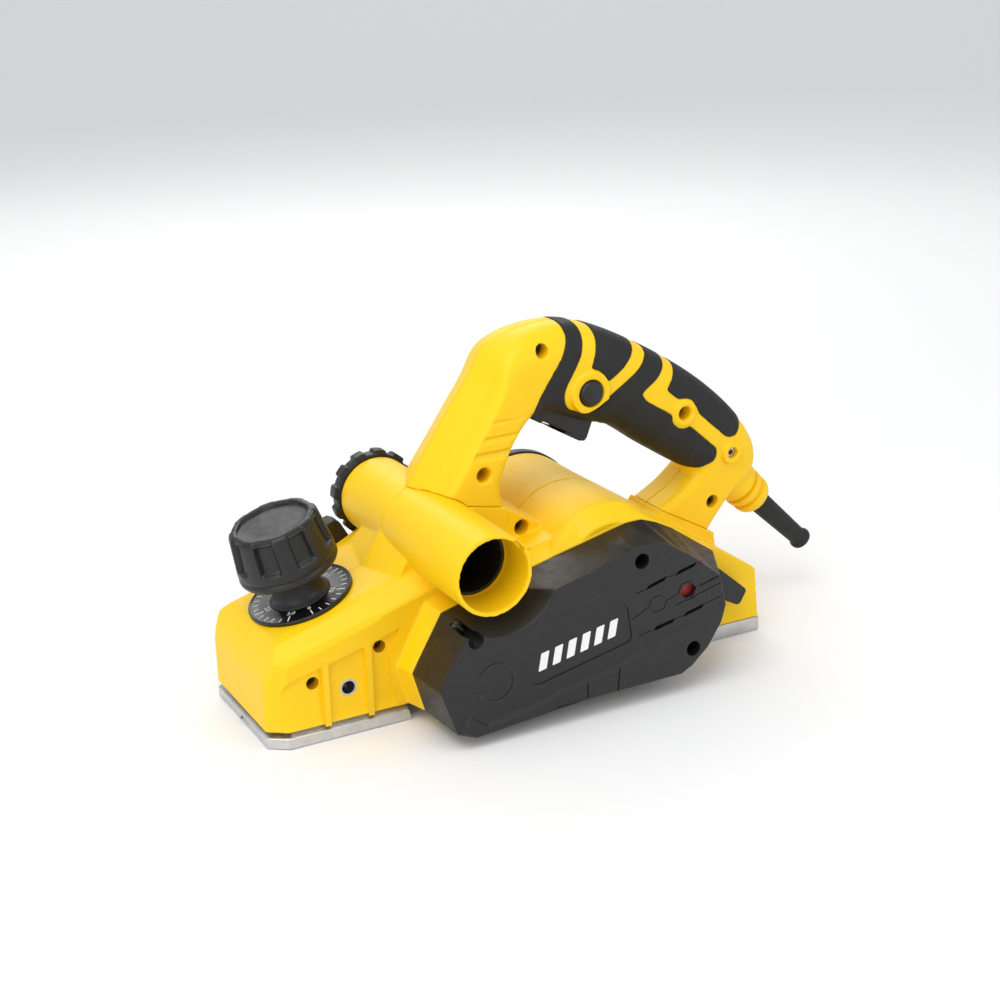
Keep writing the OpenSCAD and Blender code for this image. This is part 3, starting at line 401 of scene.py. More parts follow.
w = bpy.data.worlds.new("studio"); bpy.context.scene.world = w; w.use_nodes = True
w.node_tree.nodes["Background"].inputs[0].default_value = (0.93, 0.94, 0.95, 1)
w.node_tree.nodes["Background"].inputs[1].default_value = 0.74


def light(name, loc, target, size, power, color=(1, 1, 1)):
    d = bpy.data.lights.new(name, "AREA"); d.shape = "RECTANGLE"; d.size, d.size_y = size; d.energy = power; d.color = color
    o = bpy.data.objects.new(name, d); bpy.context.scene.collection.objects.link(o)
    o.location = loc
    o.rotation_euler = (Vector(target) - Vector(loc)).to_track_quat("-Z", "Y").to_euler()
    return o


light("key", (-0.5, -0.35, 1.25), (0, 0, 0.08), (1.1, 1.1), 9.5)
light("front", (-1.3, -0.9, 0.55), (0, 0, 0.08), (0.9, 0.9), 3.8)
light("side", (0.75, -1.25, 0.75), (0.02, 0, 0.06), (0.9, 0.7), 3.2)
light("rim", (0.5, 1.2, 0.9), (0, 0, 0.1), (1.2, 0.6), 6.0)

# a pale sweep: floor running up into a wall far behind
fv, ff = [], []
prof = [(-3.0, 0.0)] + [(0.9, 0.0)] + [(0.9 + 0.8 * math.sin(t * math.pi / 2 / 12), 0.8 - 0.8 * math.cos(t * math.pi / 2 / 12)) for t in range(1, 13)] + [(1.7, 3.2)]
dirv = Vector((math.sin(-az) * -1, 0, 0))
fdir = Vector((fwd.x, fwd.y, 0)).normalized(); sdir = Vector((fdir.y, -fdir.x, 0))
for (d_, z_) in prof:
    for s_ in (-4, 4):
        q = fdir * d_ * 1.6 + sdir * s_
        fv.append((q.x, q.y, z_ - 0.0003))
for i in range(len(prof) - 1):
    ff.append([2 * i, 2 * i + 1, 2 * i + 3, 2 * i + 2])
floor = make("floor", fv, ff, True)
fm = bpy.data.materials.new("floor_paper"); fm.use_nodes = True
fb = fm.node_tree.nodes["Principled BSDF"]; fb.inputs["Base Color"].default_value = (0.86, 0.86, 0.86, 1); fb.inputs["Roughness"].default_value = 0.9
fb.inputs["Specular IOR Level"].default_value = 0.1
floor.data.materials.append(fm)

# ------------------------------------------------------------------ housing
PART = [(77.3, 8.7), (71, 30.8), (87.8, 59.6), (96.3, 61.9), (140.6, 73.6), (194.3, 85.8), (200.9, 86.3), (210.3, 84.2),
        (222.5, 77.5), (248.8, 59.2), (252, 45), (244, 30), (228, 14), (215, 9.6), (153, 9.4), (88, 5.4)]
BODY = "body"


def rounded(pts, r=1.6, n=4):
    """outline with its corners rounded"""
    out = []; m = len(pts)
    for i in range(m):
        a, b, c = (np.array(pts[(i + j) % m], float) for j in (-1, 0, 1))
        u, v = a - b, c - b
        lu, lv = np.linalg.norm(u), np.linalg.norm(v)
        t = min(r, lu * 0.45, lv * 0.45)
        p, q = b + u / lu * t, b + v / lv * t
        for k in range(n + 1):
            s = k / n
            out.append(tuple((1 - s) ** 2 * p + 2 * s * (1 - s) * b + s * s * q))
    return out


def housing(side):
    o = from_cad("housing_%s_skin" % side, "housing_" + side)
    s = -1 if side == "left" else 1
    # solid skirt while the skin is rounded; the shoe's rebate is cut again afterwards
    ring = [(0.2, -33.8), (9.6, -40.9), (76, -40.9), (76, -35), (12, -35), (4, -29), (4, 0), (0.2, 0)]
    if s > 0:
        ring = [(x, -y) for x, y in ring][::-1]
    boole(o, [slab("t", 9.02, 14.5, ring)], "UNION")
    # the plain panel is filled for now and cut crisp afterwards
    sy = lambda y: y if s < 0 else -y
    fill = [(5.5, 9.02), (5.5, 37), (13.5, 38.5), (29, 42.3), (54, 48.3), (79, 56.2), (72, 47), (69.6, 38), (68.4, 32), (69.6, 24), (73.6, 12.9), (74, 9.02)]
    f0 = make("t", [P(x, sy(-40.97), z) for x, z in fill] + [P(x, sy(-38.4), z) for x, z in fill],
              [list(range(12)), list(range(12, 24))] + [[k, (k + 1) % 12, (k + 1) % 12 + 12, k + 12] for k in range(12)])
    wedge = slab("t", 8, 60, [(9.4, sy(-41.01)), (0.3, sy(-34.35)), (0.3, 0), (90, 0), (90, sy(-41.01))])
    boole(f0, [wedge], "INTERSECT")
    boole(o, [f0], "UNION")
    web = [(69.5, 36), (71.3, 36.5), (73.4, 42), (77.2, 48.6), (81, 53.2), (81, 58.5), (76, 57), (70, 47)]
    boole(o, [prism("t", *sorted((sy(-40.9), sy(-37.4))), web)], "UNION")
    soften(o, 0.6, 4, 230000)
    bays = [[(2, 7), (2, 30), (6.4, 30.4), (8.0, 34.2), (11.5, 36.3), (18.2, 37.7), (28.3, 40.1), (28.3, 7)],
            [(31.7, 7), (31.7, 40.9), (51.7, 45.7), (51.7, 7)],
            [(54.9, 7), (54.9, 46.4), (71.4, 51.6), (67.4, 45), (64.9, 37), (64.2, 32), (64.6, 24), (67.4, 12.9), (69.0, 7)]]
    cuts = []
    for b in bays:
        b = rounded(b, 2.4 if b[0][0] > 3 else 1.2, 5)
        cx_, cz_ = sum(q[0] for q in b) / len(b), sum(q[1] for q in b) / len(b)
        m = len(b)
        inner = [(q[0] - 0.5 * np.sign(q[0] - cx_) * min(1, abs(q[0] - cx_) / 3), q[1] - (0.5 if q[1] > 30 else 0)) for q in b]
        c = make("c", [P(x, sy(-42.2), z) for x, z in b] + [P(x, sy(-38.85), z) for x, z in inner],
                 [list(range(m)), list(range(m, 2 * m))] + [[k, (k + 1) % m, (k + 1) % m + m, k + m] for k in range(m)])
        # the panel comes out again towards its lower edge
        lo = make("c", [P(x, sy(y), z) for x in (-5, 90) for y, z in ((-43, 6), (-40.55, 6), (-40.55, 9.3), (-38.7, 14.4), (-38.7, 80), (-43, 80))],
                  [list(range(6)), list(range(6, 12))] + [[k, (k + 1) % 6, (k + 1) % 6 + 6, k + 6] for k in range(6)])
        boole(c, [lo], "INTERSECT")
        cuts.append(c)
    boole(o, cuts)
    # rebate for the shoe, narrower towards its top
    def plan(d, front):
        q = [(front, -33.9 + d * 0.4), (9.4 + d * 0.4 + front * 0.4, -41 + d), (80, -41 + d), (80, 0), (front, 0)]
        return [(x, sy(y)) for x, y in q]
    m = 5
    reb = make("t", [P(x, y, 3) for x, y in plan(0.72, 0.6)] + [P(x, y, 8.6) for x, y in plan(0.72, 0.6)] + [P(x, y, 12.5) for x, y in plan(2.75, 1.5)],
               [list(range(m)), list(range(2 * m, 3 * m))] + [[k + r, (k + 1) % m + r, (k + 1) % m + r + m, k + r + m] for k in range(m) for r in (0, m)])
    boole(o, [reb])
    # ribs stand a little proud and reach down over the shoe
    ribs = []
    for (xa, za, xb) in ((28.6, 41.0, 31.4), (52.0, 46.6, 54.6)):
        r = make("r", [P(x, sy(y), z) for (x, z) in ((xa - 0.2, 8.0), (xb + 0.2, 8.0), (xb, za + 0.6), (xa, za)) for y in (-41.62, -41.06)],
                 [[0, 2, 4, 6], [1, 3, 5, 7], [0, 1, 3, 2], [2, 3, 5, 4], [4, 5, 7, 6], [6, 7, 1, 0]])
        ribs.append(r)
        t_ = make("r", [P(x, sy(y), z) for (x, z) in ((xa, 9.2), (xb, 9.2), (xb, za), (xa, za - 0.4)) for y in (-41.3, -40.2)],
                  [[0, 2, 4, 6], [1, 3, 5, 7], [0, 1, 3, 2], [2, 3, 5, 4], [4, 5, 7, 6], [6, 7, 1, 0]])
        ribs.append(t_)
    boole(o, ribs, "UNION")
    # screw wells and the insert's hole come back through the filled panel
    if s < 0:
        holes = [cyl_y("t", 23.8, 31.6, -43, -38.2, 3.3), cyl_y("t", 60.1, 42.7, -43, -38.2, 3.3), cyl_y("t", 42.5, 24.8, -43, -38.2, 3.45)]
    else:
        holes = [cyl_y("t", 42.5, 24.8, 38.2, 43, 3.45)]
    boole(o, holes)
    shade(o, 42)
    # painted shade: the screw wells get a darker, redder yellow inside, standing in for the shadow in these recesses
    o.data.materials.clear(); o.data.materials.append(M["yellow"])
    wells = [(23.8, 31.6), (60.1, 42.7), (148.3, 83.6)]
    pick(o, "yellow_well_shade", lambda x, y, z, n: abs(y) < 40.9 and abs(n.y) < 0.5 and any((x - a) ** 2 + (z - b) ** 2 < 3.7 ** 2 for a, b in wells))
    return o


for side in ("left", "right"):
    o = housing(side)
    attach(o, BODY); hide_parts("housing_" + side)

# ------------------------------------------------------------------ handle
RW, GW = 26.5, 19.5
# outer x,z, inner x,z, half width, squareness, half width of the front face, depth of the front chamfer, keel height, keel half width
RINGS = [
    (101.5, 104.6, 139.8, 96.4, RW, 9, 18, 4.6, 7.2, 18),
    (107.5, 113.5, 137.6, 106.5, RW, 9, 17.6, 4.6, 7.2, 17.6),
    (116, 126, 139.8, 114.5, RW - .3, 9, 16.9, 4.6, 7.1, 16.9),
    (127, 142, 147.2, 128.5, RW - 1.3, 8, 15.9, 4.2, 6.8, 15.9),
    (137, 157, 157, 138.5, 24, 6.5, 14.9, 3.8, 6.2, 14.9),
    (143.5, 171, 166, 140, 22, 4.6, 15, 3.4, 4.4, 12.8),
    (153, 178.5, 176, 136.5, 21, 3.6, 17.5, 2, 1.3, 8),
    (167, 182.6, 187, 131.5, 20.2, 3, 20, 0.6, 0.2, 5),
    (181, 183.3, 197, 127, GW, 2.8, 20, 0, 0, 5),
    (195, 180.6, 205, 125, GW, 2.7, 20, 0, 0, 5),
    (210, 175, 212, 122.8, GW, 2.7, 20, 0, 0, 5),
    (228, 165.8, 221, 117, GW, 2.7, 20, 0, 0, 5),
    (247, 154.6, 232, 109, GW, 2.7, 20, 0, 0, 5),
    (266, 141.5, 243, 101.7, 19, 2.7, 20, 0, 0, 5),
    (283, 127, 252.5, 95.5, 18.4, 2.8, 20, 0, 0, 5),
    (296, 112.5, 259.5, 91, 17.6, 3, 18, 0, 0, 5),
    (304, 98, 262.3, 87.6, 16.8, 3.6, 13, 2, 0, 5),
    (303.5, 84, 259, 83.8, 16, 5, 9, 4, 0, 5),
    (292, 73.5, 251, 77.6, 15.6, 6, 8, 5, 0, 5),
    (275, 52, 239.8, 71.8, 15.4, 7, 8, 5, 0, 5),
]


def spline(rows, per):
    """Catmull-Rom through the rows"""
    R = np.array(rows, float); n = len(R); out = []
    for i in range(n - 1):
        p0 = R[max(i - 1, 0)]; p1 = R[i]; p2 = R[i + 1]; p3 = R[min(i + 2, n - 1)]
        for k in range(per):
            t = k / per
            out.append(0.5 * ((2 * p1) + (-p0 + p2) * t + (2 * p0 - 5 * p1 + 4 * p2 - p3) * t * t + (-p0 + 3 * p1 - 3 * p2 + p3) * t ** 3))
    out.append(R[-1])
    return out


def section(g, d, n=112):
    ox, oz, ix, iz, W, sq, F, ch, kd, kw = g
    dx, dz = ix - ox, iz - oz; Ln = math.hypot(dx, dz)
    ox, oz, ix, iz = ox + dx / Ln * d, oz + dz / Ln * d, ix - dx / Ln * d, iz - dz / Ln * d
    cx, cz = (ox + ix) / 2, (oz + iz) / 2
    fx, fz = -dx / Ln, -dz / Ln
    W = W - d; F = min(F, W * 0.999)
    half = Ln / 2 - d
    pts = []
    u0 = 1 - 1.0 * ch / half       # chamfer runs from (1, F/W) to (u0, 1)
    v0 = F / W
    for k in range(n):
        a = 2 * math.pi * (k + 0.5) / n
        c, s = math.cos(a), math.sin(a)
        rs = (abs(c) ** sq + abs(s) ** sq) ** (-1 / sq)
        r = rs
        if c > 0 and ch > 0.05 and v0 < 0.995:
            A, B = (1 - v0), (1 - u0)            # line A*u + B*v = 1 - u0*v0
            q = A * c + B * abs(s)
            if q > 1e-6:
                rc = (1 - u0 * v0) / q
                r = (rs ** -24 + rc ** -24) ** (-1 / 24)
        k_ = max(kd, 0) * max(0.0, 1 - abs(W * r * s) / kw) if c > 0 else 0.0
        pts.append((cx + (ox - cx) * r * c + fx * k_, W * r * s, cz + (oz - cz) * r * c + fz * k_))
    return pts


def loft(name, d=0.0, i0=0, i1=19, per=8, n=112):
    rows = spline(RINGS, per)[i0 * per:i1 * per + 1]
    verts, faces = [], []
    for g in rows:
        verts += [P(*q) for q in section(g, d, n)]
    m = len(rows)
    for i in range(m - 1):
        for k in range(n):
            k2 = (k + 1) % n
            faces.append([i * n + k, i * n + k2, (i + 1) * n + k2, (i + 1) * n + k])
    faces.append(list(range(n))[::-1]); faces.append([(m - 1) * n + k for k in range(n)])
    return make(name, verts, faces)


ZONE_A = [(180.5, 192), (182, 183), (181.5, 176), (177.5, 168), (171, 159.9), (164.1, 150.8), (156.5, 138.5), (148, 122),
          (205, 112), (250, 86), (254, 93), (258.5, 91.5), (264.8, 91.1), (273.6, 95), (274.5, 101.3),
          (255.8, 117.9), (253, 116.8), (248.4, 117.6), (244.2, 121.9), (244.2, 125.9), (227.5, 136.6), (225, 140.5),
          (226.5, 142.5), (234.4, 147.3), (239.4, 151.5), (242.5, 156), (248, 170), (236, 174), (232, 163), (229.5, 159.5), (223.5, 154.3), (213.7, 148), (204, 141.8),
          (197.2, 138.0), (191.4, 136), (185.7, 137.2), (180.9, 139.5), (178.1, 144.3), (177.7, 148.6), (179.7, 153.4), (184, 159.5),
          (188.8, 167.3), (191, 175), (191.5, 182), (191, 192)]
ZONE_B = [(198, 192), (199.5, 182), (199.5, 174), (197.5, 166.7), (194.4, 159.2), (198.2, 158.2), (202.1, 155), (204, 150.6), (213.7, 156.6), (221, 163), (224.5, 168), (228, 182)]
ZONE_C = [(256, 160), (250, 152.5), (245.5, 145.8), (240.6, 140.4), (248.1, 134.1), (252.7, 134), (257.8, 132.1), (260.5, 127.2), (262, 123.6), (280.7, 107), (286.5, 106.5), (290, 110), (296, 122), (270, 155)]
HOLES = [(166, 172.5), (127.5, 115.6), (252.3, 125.6), (273.5, 70.4)]
CA = math.radians(43.4)
CAX = (math.cos(CA), 0, -math.sin(CA))
C0 = Vector((296, 0, 76.5))


def along(s):
    q = C0 + Vector(CAX) * s
    return (q.x, q.y, q.z)


def handle(side):
    s = -1 if side == "left" else 1
    o = loft("handle_%s_skin" % side)
    # collar of the cord guard with its slots
    boole(o, [cyl("c", along(-6), along(20.6), 13.0, 64, 11.4), cyl("c", along(20), along(23), 11.4, 64, 10.2)], "UNION")
    if s < 0:
        boole(o, [cyl("c", (252.3, -19.9, 125.6), (252.3, -10, 125.6), 6.9, 48), cyl("c", (284, -19.2, 97.6), (284, -6, 97.6), 6.2, 48),
                  cyl("c", (193.6, -20.9, 146.5), (193.6, -10, 146.5), 11.4, 64)], "UNION")
    half = box("h", 80, 340, -45 if s < 0 else 0.08, -0.08 if s < 0 else 45, 30, 200)
    boole(o, [half], "INTERSECT")
    cuts = [cyl_y("t", 101.7, 87.2, -42, 42, 20.85, 96),
            prism("t", -40, 40, [(80, 80), (101.35, 80), (101.35, 106.72), (95.4, 108.22), (80, 112.07)])]
    # seat of the soft grip
    shell = loft("sh", 1.5, 4, 17)
    for z in (ZONE_A, ZONE_B, ZONE_C):
        b = prism("z", -40, 40, rounded(z, 2.2))
        boole(b, [shell], keep=True)
        cuts.append(b)
    kill(shell)
    # hollows
    cuts.append(prism("z", -12.5, 12.5, [(172, 141), (178, 170), (204, 166), (234, 147), (232, 128), (212, 134), (200, 136)]))
    cuts.append(prism("z", -9.7, 9.7, [(158.5, 144), (162, 128), (200, 108), (206, 112), (206.5, 142), (166, 153)]))
    for (x, z) in HOLES:
        cuts.append(cyl_y("z", x, z, -45, -9, 3.7))
        cuts.append(cyl_y("z", x, z, -9.5, 15, 2.0, 24))
        if s < 0:
            cuts.append(cyl_y("z", x, z, -27.5 if x < 170 else -20.6, -24.6 if x < 130 else -18.6, 5.0, 48, 3.7))
    if s < 0:
        cuts.append(revolve("z", (284, -22, 97.6), (0, 1, 0), [(0, 0), (3.5, 0), (3.5, 10), (0, 10)], 6))
        cuts.append(cyl_y("z", 193.6, 146.5, -30, -11, 7.25, 64))
    # stepped flutes down the side of the riser
    for (a, b, c, d) in (((144.2, 157.6), (160.5, 158.2), (141.5, 153.8), (157.8, 153.2)), ((139.3, 150.0), (155.8, 150.0), (136.4, 146.0), (152.8, 145.2)),
                         ((134.2, 142.4), (151.0, 142.2), (131.3, 138.3), (148.2, 137.6)), ((128.9, 134.6), (147.4, 134.6), (126.3, 130.5), (145.2, 130.0)),
                         ((123.9, 127.2), (143.6, 127.0), (121.5, 123.2), (141.4, 122.2))):
        v = [P(a[0], s * 27.5, a[1]), P(b[0] + 3, s * 27.5, b[1]), P(d[0] + 3, s * 27.5, d[1]), P(c[0], s * 27.5, c[1]),
             P(a[0], s * 24.0, a[1]), P(b[0] + 3, s * 23.6, b[1]), P(d[0] + 3, s * 25.5, d[1]), P(c[0], s * 25.9, c[1])]
        cuts.append(make("f", v, [[0, 1, 2, 3], [4, 5, 6, 7], [0, 1, 5, 4], [1, 2, 6, 5], [2, 3, 7, 6], [3, 0, 4, 7]]))
    # cord channel and the collar's slots
    cuts.append(cyl("c", along(-14), along(30), 5.6)); cuts.append(cyl("c", along(8), along(30), 8.5))
    for h0, h1 in ((7.5, 10.3), (14.2, 17.0)):
        cuts.append(ring_solid("c", along(h0), CAX, [(9.6, 0), (15, 0), (15, h1 - h0), (9.6, h1 - h0)], 48))
    boole(o, cuts)
    if s < 0:
        pass
    soften(o, 0.5, 4, 190000)
    return o


def pads(side):
    s = -1 if side == "left" else 1
    outer = loft("o", -0.35, 4, 17)
    shell = loft("i", 1.45, 3, 18)
    outs = []
    for z in (ZONE_A, ZONE_B, ZONE_C):
        b = prism("z", -40, 40, rounded(z, 2.2))
        boole(b, [outer], "INTERSECT", keep=True)
        boole(b, [shell], keep=True)
        outs.append(b)
    kill(outer, shell)
    o = join("grip_%s_skin" % side, outs)
    cuts = [box("h", 80, 340, 0.06 if s < 0 else -45, 45 if s < 0 else -0.06, 30, 200),
            prism("z", -10, 10, [(150, 146), (158, 120), (200, 105), (207, 112), (207, 142), (166, 153)]),
            cyl_y("z", 252.3, 125.6, -45, 45, 7.3 if s < 0 else 4.2), cyl_y("z", 193.6, 146.5, -45, -5, 11.8)]
    boole(o, cuts)
    soften(o, 0.42, 3, 120000)
    return o


for side in ("left", "right"):
    o = handle(side)
    piece(o, "yellow", BODY, "yellow_shell", "handle_" + side)
    g = pads(side)
    piece(g, "rubber", BODY, "soft_grip", "grip_pad_" + side)

# ------------------------------------------------------------------ belt cover
FACE = [(79.4, 9), (70.8, 33.4), (74.4, 41), (80.4, 50.9), (88, 59.4), (96, 61.6), (131.9, 72.4), (152.3, 76.6), (173.7, 82.2), (180.1, 85.2),
        (190.4, 85.6), (200.8, 82.9), (210.1, 76.2), (217, 71.6), (231, 60), (235, 43), (233, 35.2), (224.5, 22.3), (214.5, 13.5), (207.7, 10.2), (153, 10), (89, 4.9)]
# the same outline on the parting plane, point by point
FPART = [(77.3, 8.7), (71, 30.8), (74.8, 37.5), (81, 48), (87.8, 59.6), (96.3, 61.9), (131.9, 71.2), (152.3, 76.3), (173.7, 81.1), (186, 84),
         (194.3, 85.8), (203.5, 86.0), (213, 82.5), (222.5, 77.5), (248.8, 59.2), (252, 45), (247.5, 36.5), (240, 26), (228, 14), (215, 9.6), (153, 9.4), (88, 5.4)]
FY = -84.6
CSCREW = [(90.6, 56.2), (184.4, 77.4), (214.3, 23.8)]


def lerp_out(a, b, t):
    return [(p[0] + (q[0] - p[0]) * t, p[1] + (q[1] - p[1]) * t) for p, q in zip(a, b)]


o = prism2("belt_cover_skin", -52.05, FPART, FY, FACE)
# proud lower field with a sloping ledge
L_up = [(84.2, 19.0), (96, 12.4), (127.2, 17.3), (130.5, 19.4), (145, 21.4), (154, 22.6), (162.5, 24.1), (171, 26.0), (179.5, 29.4), (232.6, 41.4)]
L_lo = [(86.5, 17.0), (96.2, 9.2), (128.8, 14.8), (134.0, 17.0), (145, 19), (154, 20), (162, 21.2), (171.4, 23.2), (179.5, 26.6), (232.0, 38.4)]
B_up = [(233, 35.2), (224.5, 22.3), (214.5, 13.5), (207.7, 10.2), (153, 10), (89, 4.9), (80.5, 8.6)]
B_lo = [(231.2, 34.6), (223.4, 22.8), (213.8, 14.4), (207.3, 11.2), (153, 11.0), (89.6, 6.0), (82.4, 9.4)]
boole(o, [prism2("c", FY + 1.0, L_up + B_up, FY - 1.7, L_lo + B_lo)], "UNION")
inn = [(80.5, 12.5), (74.5, 33), (79, 41.5), (84.5, 50.4), (91, 56.6), (98, 58.4), (131, 68.2), (152, 72.8), (173, 78), (182, 81), (190, 82), (199, 79.8),
       (207.5, 73.8), (214, 69), (227.5, 58), (231, 43), (229.5, 36.5), (221.5, 24.5), (212.5, 16.5), (206.5, 13.6), (153, 13.5), (90, 8.8)]
room = prism("c", FY + 3.2, -40, inn)
boole(room, [cyl_y("c", x, z, -90, -40, 6.2) for x, z in CSCREW]
      + [revolve("c", (106.4, -88.5, 86.6), (0, 1, 0), [(0, 0), (35.8, 0), (24.2, 29), (24.2, 50), (0, 50)], 96), cyl_y("c", 101.7, 87.2, -95, -35, 23.6, 96)])
cuts = [room,
        revolve("c", (106.4, -88.5, 86.6), (0, 1, 0), [(0, 0), (33.0, 0), (21.6, 29), (0, 29)], 128),
        cyl_y("c", 101.7, 87.2, -95, -45, 21.4, 128),
        prism("c", FY - 3, FY + 0.7, [(152.2, 63.1), (173.8, 66.0), (203.6, 72.1), (216.7, 74.4), (216, 90), (140, 90), (144.5, 74.8)]),
        prism("c", FY - 3, FY + 0.35, [(134.6, 58.4), (152.2, 63.1), (144.5, 74.8), (140, 90), (120, 90), (129.6, 65.6)])]
boole(o, cuts)
soften(o, 0.5, 3, 200000)
# crisp details in the face
fine = []


def groove(a, b, w=0.5, depth=0.45, y=FY):
    a, b = np.array(a, float), np.array(b, float)
    d = (b - a) / np.linalg.norm(b - a); nrm = np.array([-d[1], d[0]]) * w / 2
    return prism("g", y - 2.2, y + depth, [tuple(a + nrm), tuple(b + nrm), tuple(b - nrm), tuple(a - nrm)])


label = [(116.1, 45.7), (120.5, 48.7), (171.9, 58.8), (175.7, 54.9), (178.4, 38.1), (176.4, 35.5), (124.4, 24.7), (120.1, 26.4), (117.1, 31.3)]
fine.append(prism("c", FY - 3, FY + 0.55, rounded(label, 1.2)))
for v in ((186, 62.7, 197.7, 65.6), (203.6, 66.7, 215.5, 69.5), (190.8, 39.3, 202.9, 41.5), (208.6, 43, 220.6, 45.6)):
    fine.append(prism("c", FY - 3, FY + 6, [(v[0], v[1] - 1.15), (v[2] - .6, v[3] - 1.15), (v[2] + 1.4, v[3] + 1.2), (v[0] + 1.8, v[1] + 1.2)]))


def hexa(cx, cz, rx, rz, a0=8):
    return [(cx + rx * math.cos(math.radians(60 * i + a0)), cz + rz * math.sin(math.radians(60 * i + a0))) for i in range(6)]


fine.append(prism("c", FY - 3, FY + 6, hexa(211.7, 55.9, 4.9, 4.2)))
boole(o, fine + [cyl_y("c", x, z, -95, -64, 4.1, 40) for x, z in CSCREW] + [cyl_y("c", x, z, -66, -45, 2.2, 24) for x, z in CSCREW])
lines = []
hx = hexa(193.3, 52.8, 5.6, 4.6)
for i in range(6):
    lines.append((hx[i], hx[(i + 1) % 6]))
h2 = hexa(211.7, 55.9, 6.6, 5.7)
lines += [(h2[1], h2[2]), (h2[2], h2[3]), (h2[4], h2[5])]
lines += [((178.5, 47.6), hx[3]), (hx[0], (203.6, 55.0)), (h2[0], (231.5, 60.2)), ((180.5, 60.9), (185.2, 62.2)), ((199.6, 65.9), (203.2, 66.6)),
          ((217.4, 70.1), (221.6, 68.6)), ((182, 37.4), (189.6, 39.0)), ((204.2, 42.1), (208.2, 43.0)), ((222, 46.3), (233.0, 48.9)),
          ((218.6, 57.6), (229.8, 60.2)), ((204, 49.5), (231.6, 56.0))]
boole(o, [groove(a, b) for a, b in lines])
blk = [((133.6, 17.0), (133.5, 10.6)), ((151.4, 19.8), (151.3, 10.8)), ((170, 23.2), (168.9, 11.2))]
boole(o, [groove(a, b, 0.9, 0.6, FY - 1.7) for a, b in blk])
boole(o, [prism("g", FY - 4, FY - 1.15, [(133.6, 17.2), (145, 18.9), (151.3, 19.7), (151.3, 10.4), (133.6, 10.4)])])
# turning arrow, embossed
arr = []
for i in range(44):
    a0, a1 = math.radians(150 - 288 * i / 44), math.radians(150 - 288 * (i + 1) / 44)
    arr.append(prism("a", FY - 0.35, FY + 0.4, [(100.7 + r * math.cos(t), 31.8 + r * math.sin(t)) for r, t in ((9.45, a0), (9.45, a1 - 0.01), (10.3, a1 - 0.01), (10.3, a0))]))
t = math.radians(150 - 290)
ex, ez = 100.7 + 9.9 * math.cos(t), 31.8 + 9.9 * math.sin(t)
tx, tz = math.sin(t), -math.cos(t)
arr.append(prism("a", FY - 0.35, FY + 0.4, [(ex + math.cos(t) * 2.2, ez + math.sin(t) * 2.2), (ex - math.cos(t) * 2.2, ez - math.sin(t) * 2.2), (ex + tx * 4.2, ez + tz * 4.2)]))
shade(o, 32)
piece(o, "black", BODY, "black_shell", "belt_cover")
a = join("cover_turn_arrow", arr)
piece(a, "black", BODY, "black_shell")
# plain slanted bars in the label field
bars = []
lx, lz = np.array([51.8, 10.6]) / np.hypot(51.8, 10.6)
for i in range(6):
    b0 = np.array([124.6 + 7.9 * i, 31.6 + 1.63 * i])
    e = np.array([lx, lz]); up_ = np.array([1.7, 9.4])
    bars.append(prism("b", FY + 0.42, FY + 0.85, rounded([tuple(b0), tuple(b0 + e * 4.6), tuple(b0 + e * 4.6 + up_), tuple(b0 + up_)], 0.5)))
b = join("cover_label_bars", bars)
piece(b, "white", BODY, "dial")
# red insulator behind the rear vents
b = boole(prism("vent_screen", FY + 3.4, FY + 4.6, [(200, 40), (226, 46), (226, 58), (222, 70), (200, 68)]), [])
bevel(b, 0.3)
piece(b, "red", BODY, "pulley_plastic")

# ------------------------------------------------------------------ depth knob and dial
KO = Vector((35.6, 0, 60.8)); KT = math.radians(16.4)
KA = Vector((-math.sin(KT), 0, math.cos(KT)))


def smooth(a, b, x):
    t = min(1, max(0, (x - a) / (b - a)))
    return t * t * (3 - 2 * t)


def knob_rad(r, h, t):
    z = h
    if 24.6 < z < 44.4 and r > 19:
        ph = (math.degrees(t) / 45.0 - 0.5 - 8 / 45.0) % 1.0
        ph = abs(ph - 0.5)                       # 0 in the middle of a recess
        m = 1 - smooth(0.235, 0.285, ph)
        zz = smooth(26.4, 28.4, z) * (1 - smooth(41.4, 43.4, z) * 0.75)
        r = r - 2.7 * m * zz
    if z >= 43.0 and r > 17:
        ph = (math.degrees(t) / 45.0 - 0.5 - 8 / 45.0) % 1.0
        ph = abs(ph - 0.5)
        m = 1 - smooth(0.235, 0.285, ph)
        r = r - 0.7 * m * smooth(17, 20, r)
    return r


kp = [(0, 1.9), (15.9, 1.9), (15.6, 2.3), (14.4, 3.2), (13.5, 4.6), (13.0, 6.4), (12.7, 9), (12.6, 12), (12.8, 13.6), (13.6, 14.6), (16.5, 15.3), (20.5, 16.2),
      (23.6, 17.2), (24.9, 18.0), (25.5, 19.0), (25.6, 20.0), (25.4, 20.9), (24.9, 21.5), (24.75, 21.9), (25.1, 22.4), (25.4, 23.2), (25.3, 24.4)]
for i in range(37):
    z = 24.8 + i * 0.5
    kp.append((25.25 - (z - 24.8) * 0.125, z))
kp += [(22.75, 43.3), (22.4, 44.0), (21.9, 44.6), (21.2, 45.0), (20.3, 45.2), (19.4, 45.25), (18.7, 45.1), (18.3, 44.7), (18.1, 44.1), (17.9, 43.75), (17.2, 43.6), (12, 43.75), (6, 43.85), (0, 43.9)]
o = revolve("depth_knob_skin", tuple(KO), tuple(KA), kp, 288, rad=knob_rad)
shade(o, 50)
piece(o, "knob", "depth_knob_assembly", "knob_plastic", "depth_knob")
dp = [(4.2, 0.15), (27.0, 0.15), (27.2, 0.4), (27.2, 1.6), (27.05, 2.0), (26.75, 2.2), (26.4, 2.2), (26.1, 2.0), (25.9, 1.75), (25.6, 1.65), (20, 1.65), (4.2, 1.65)]
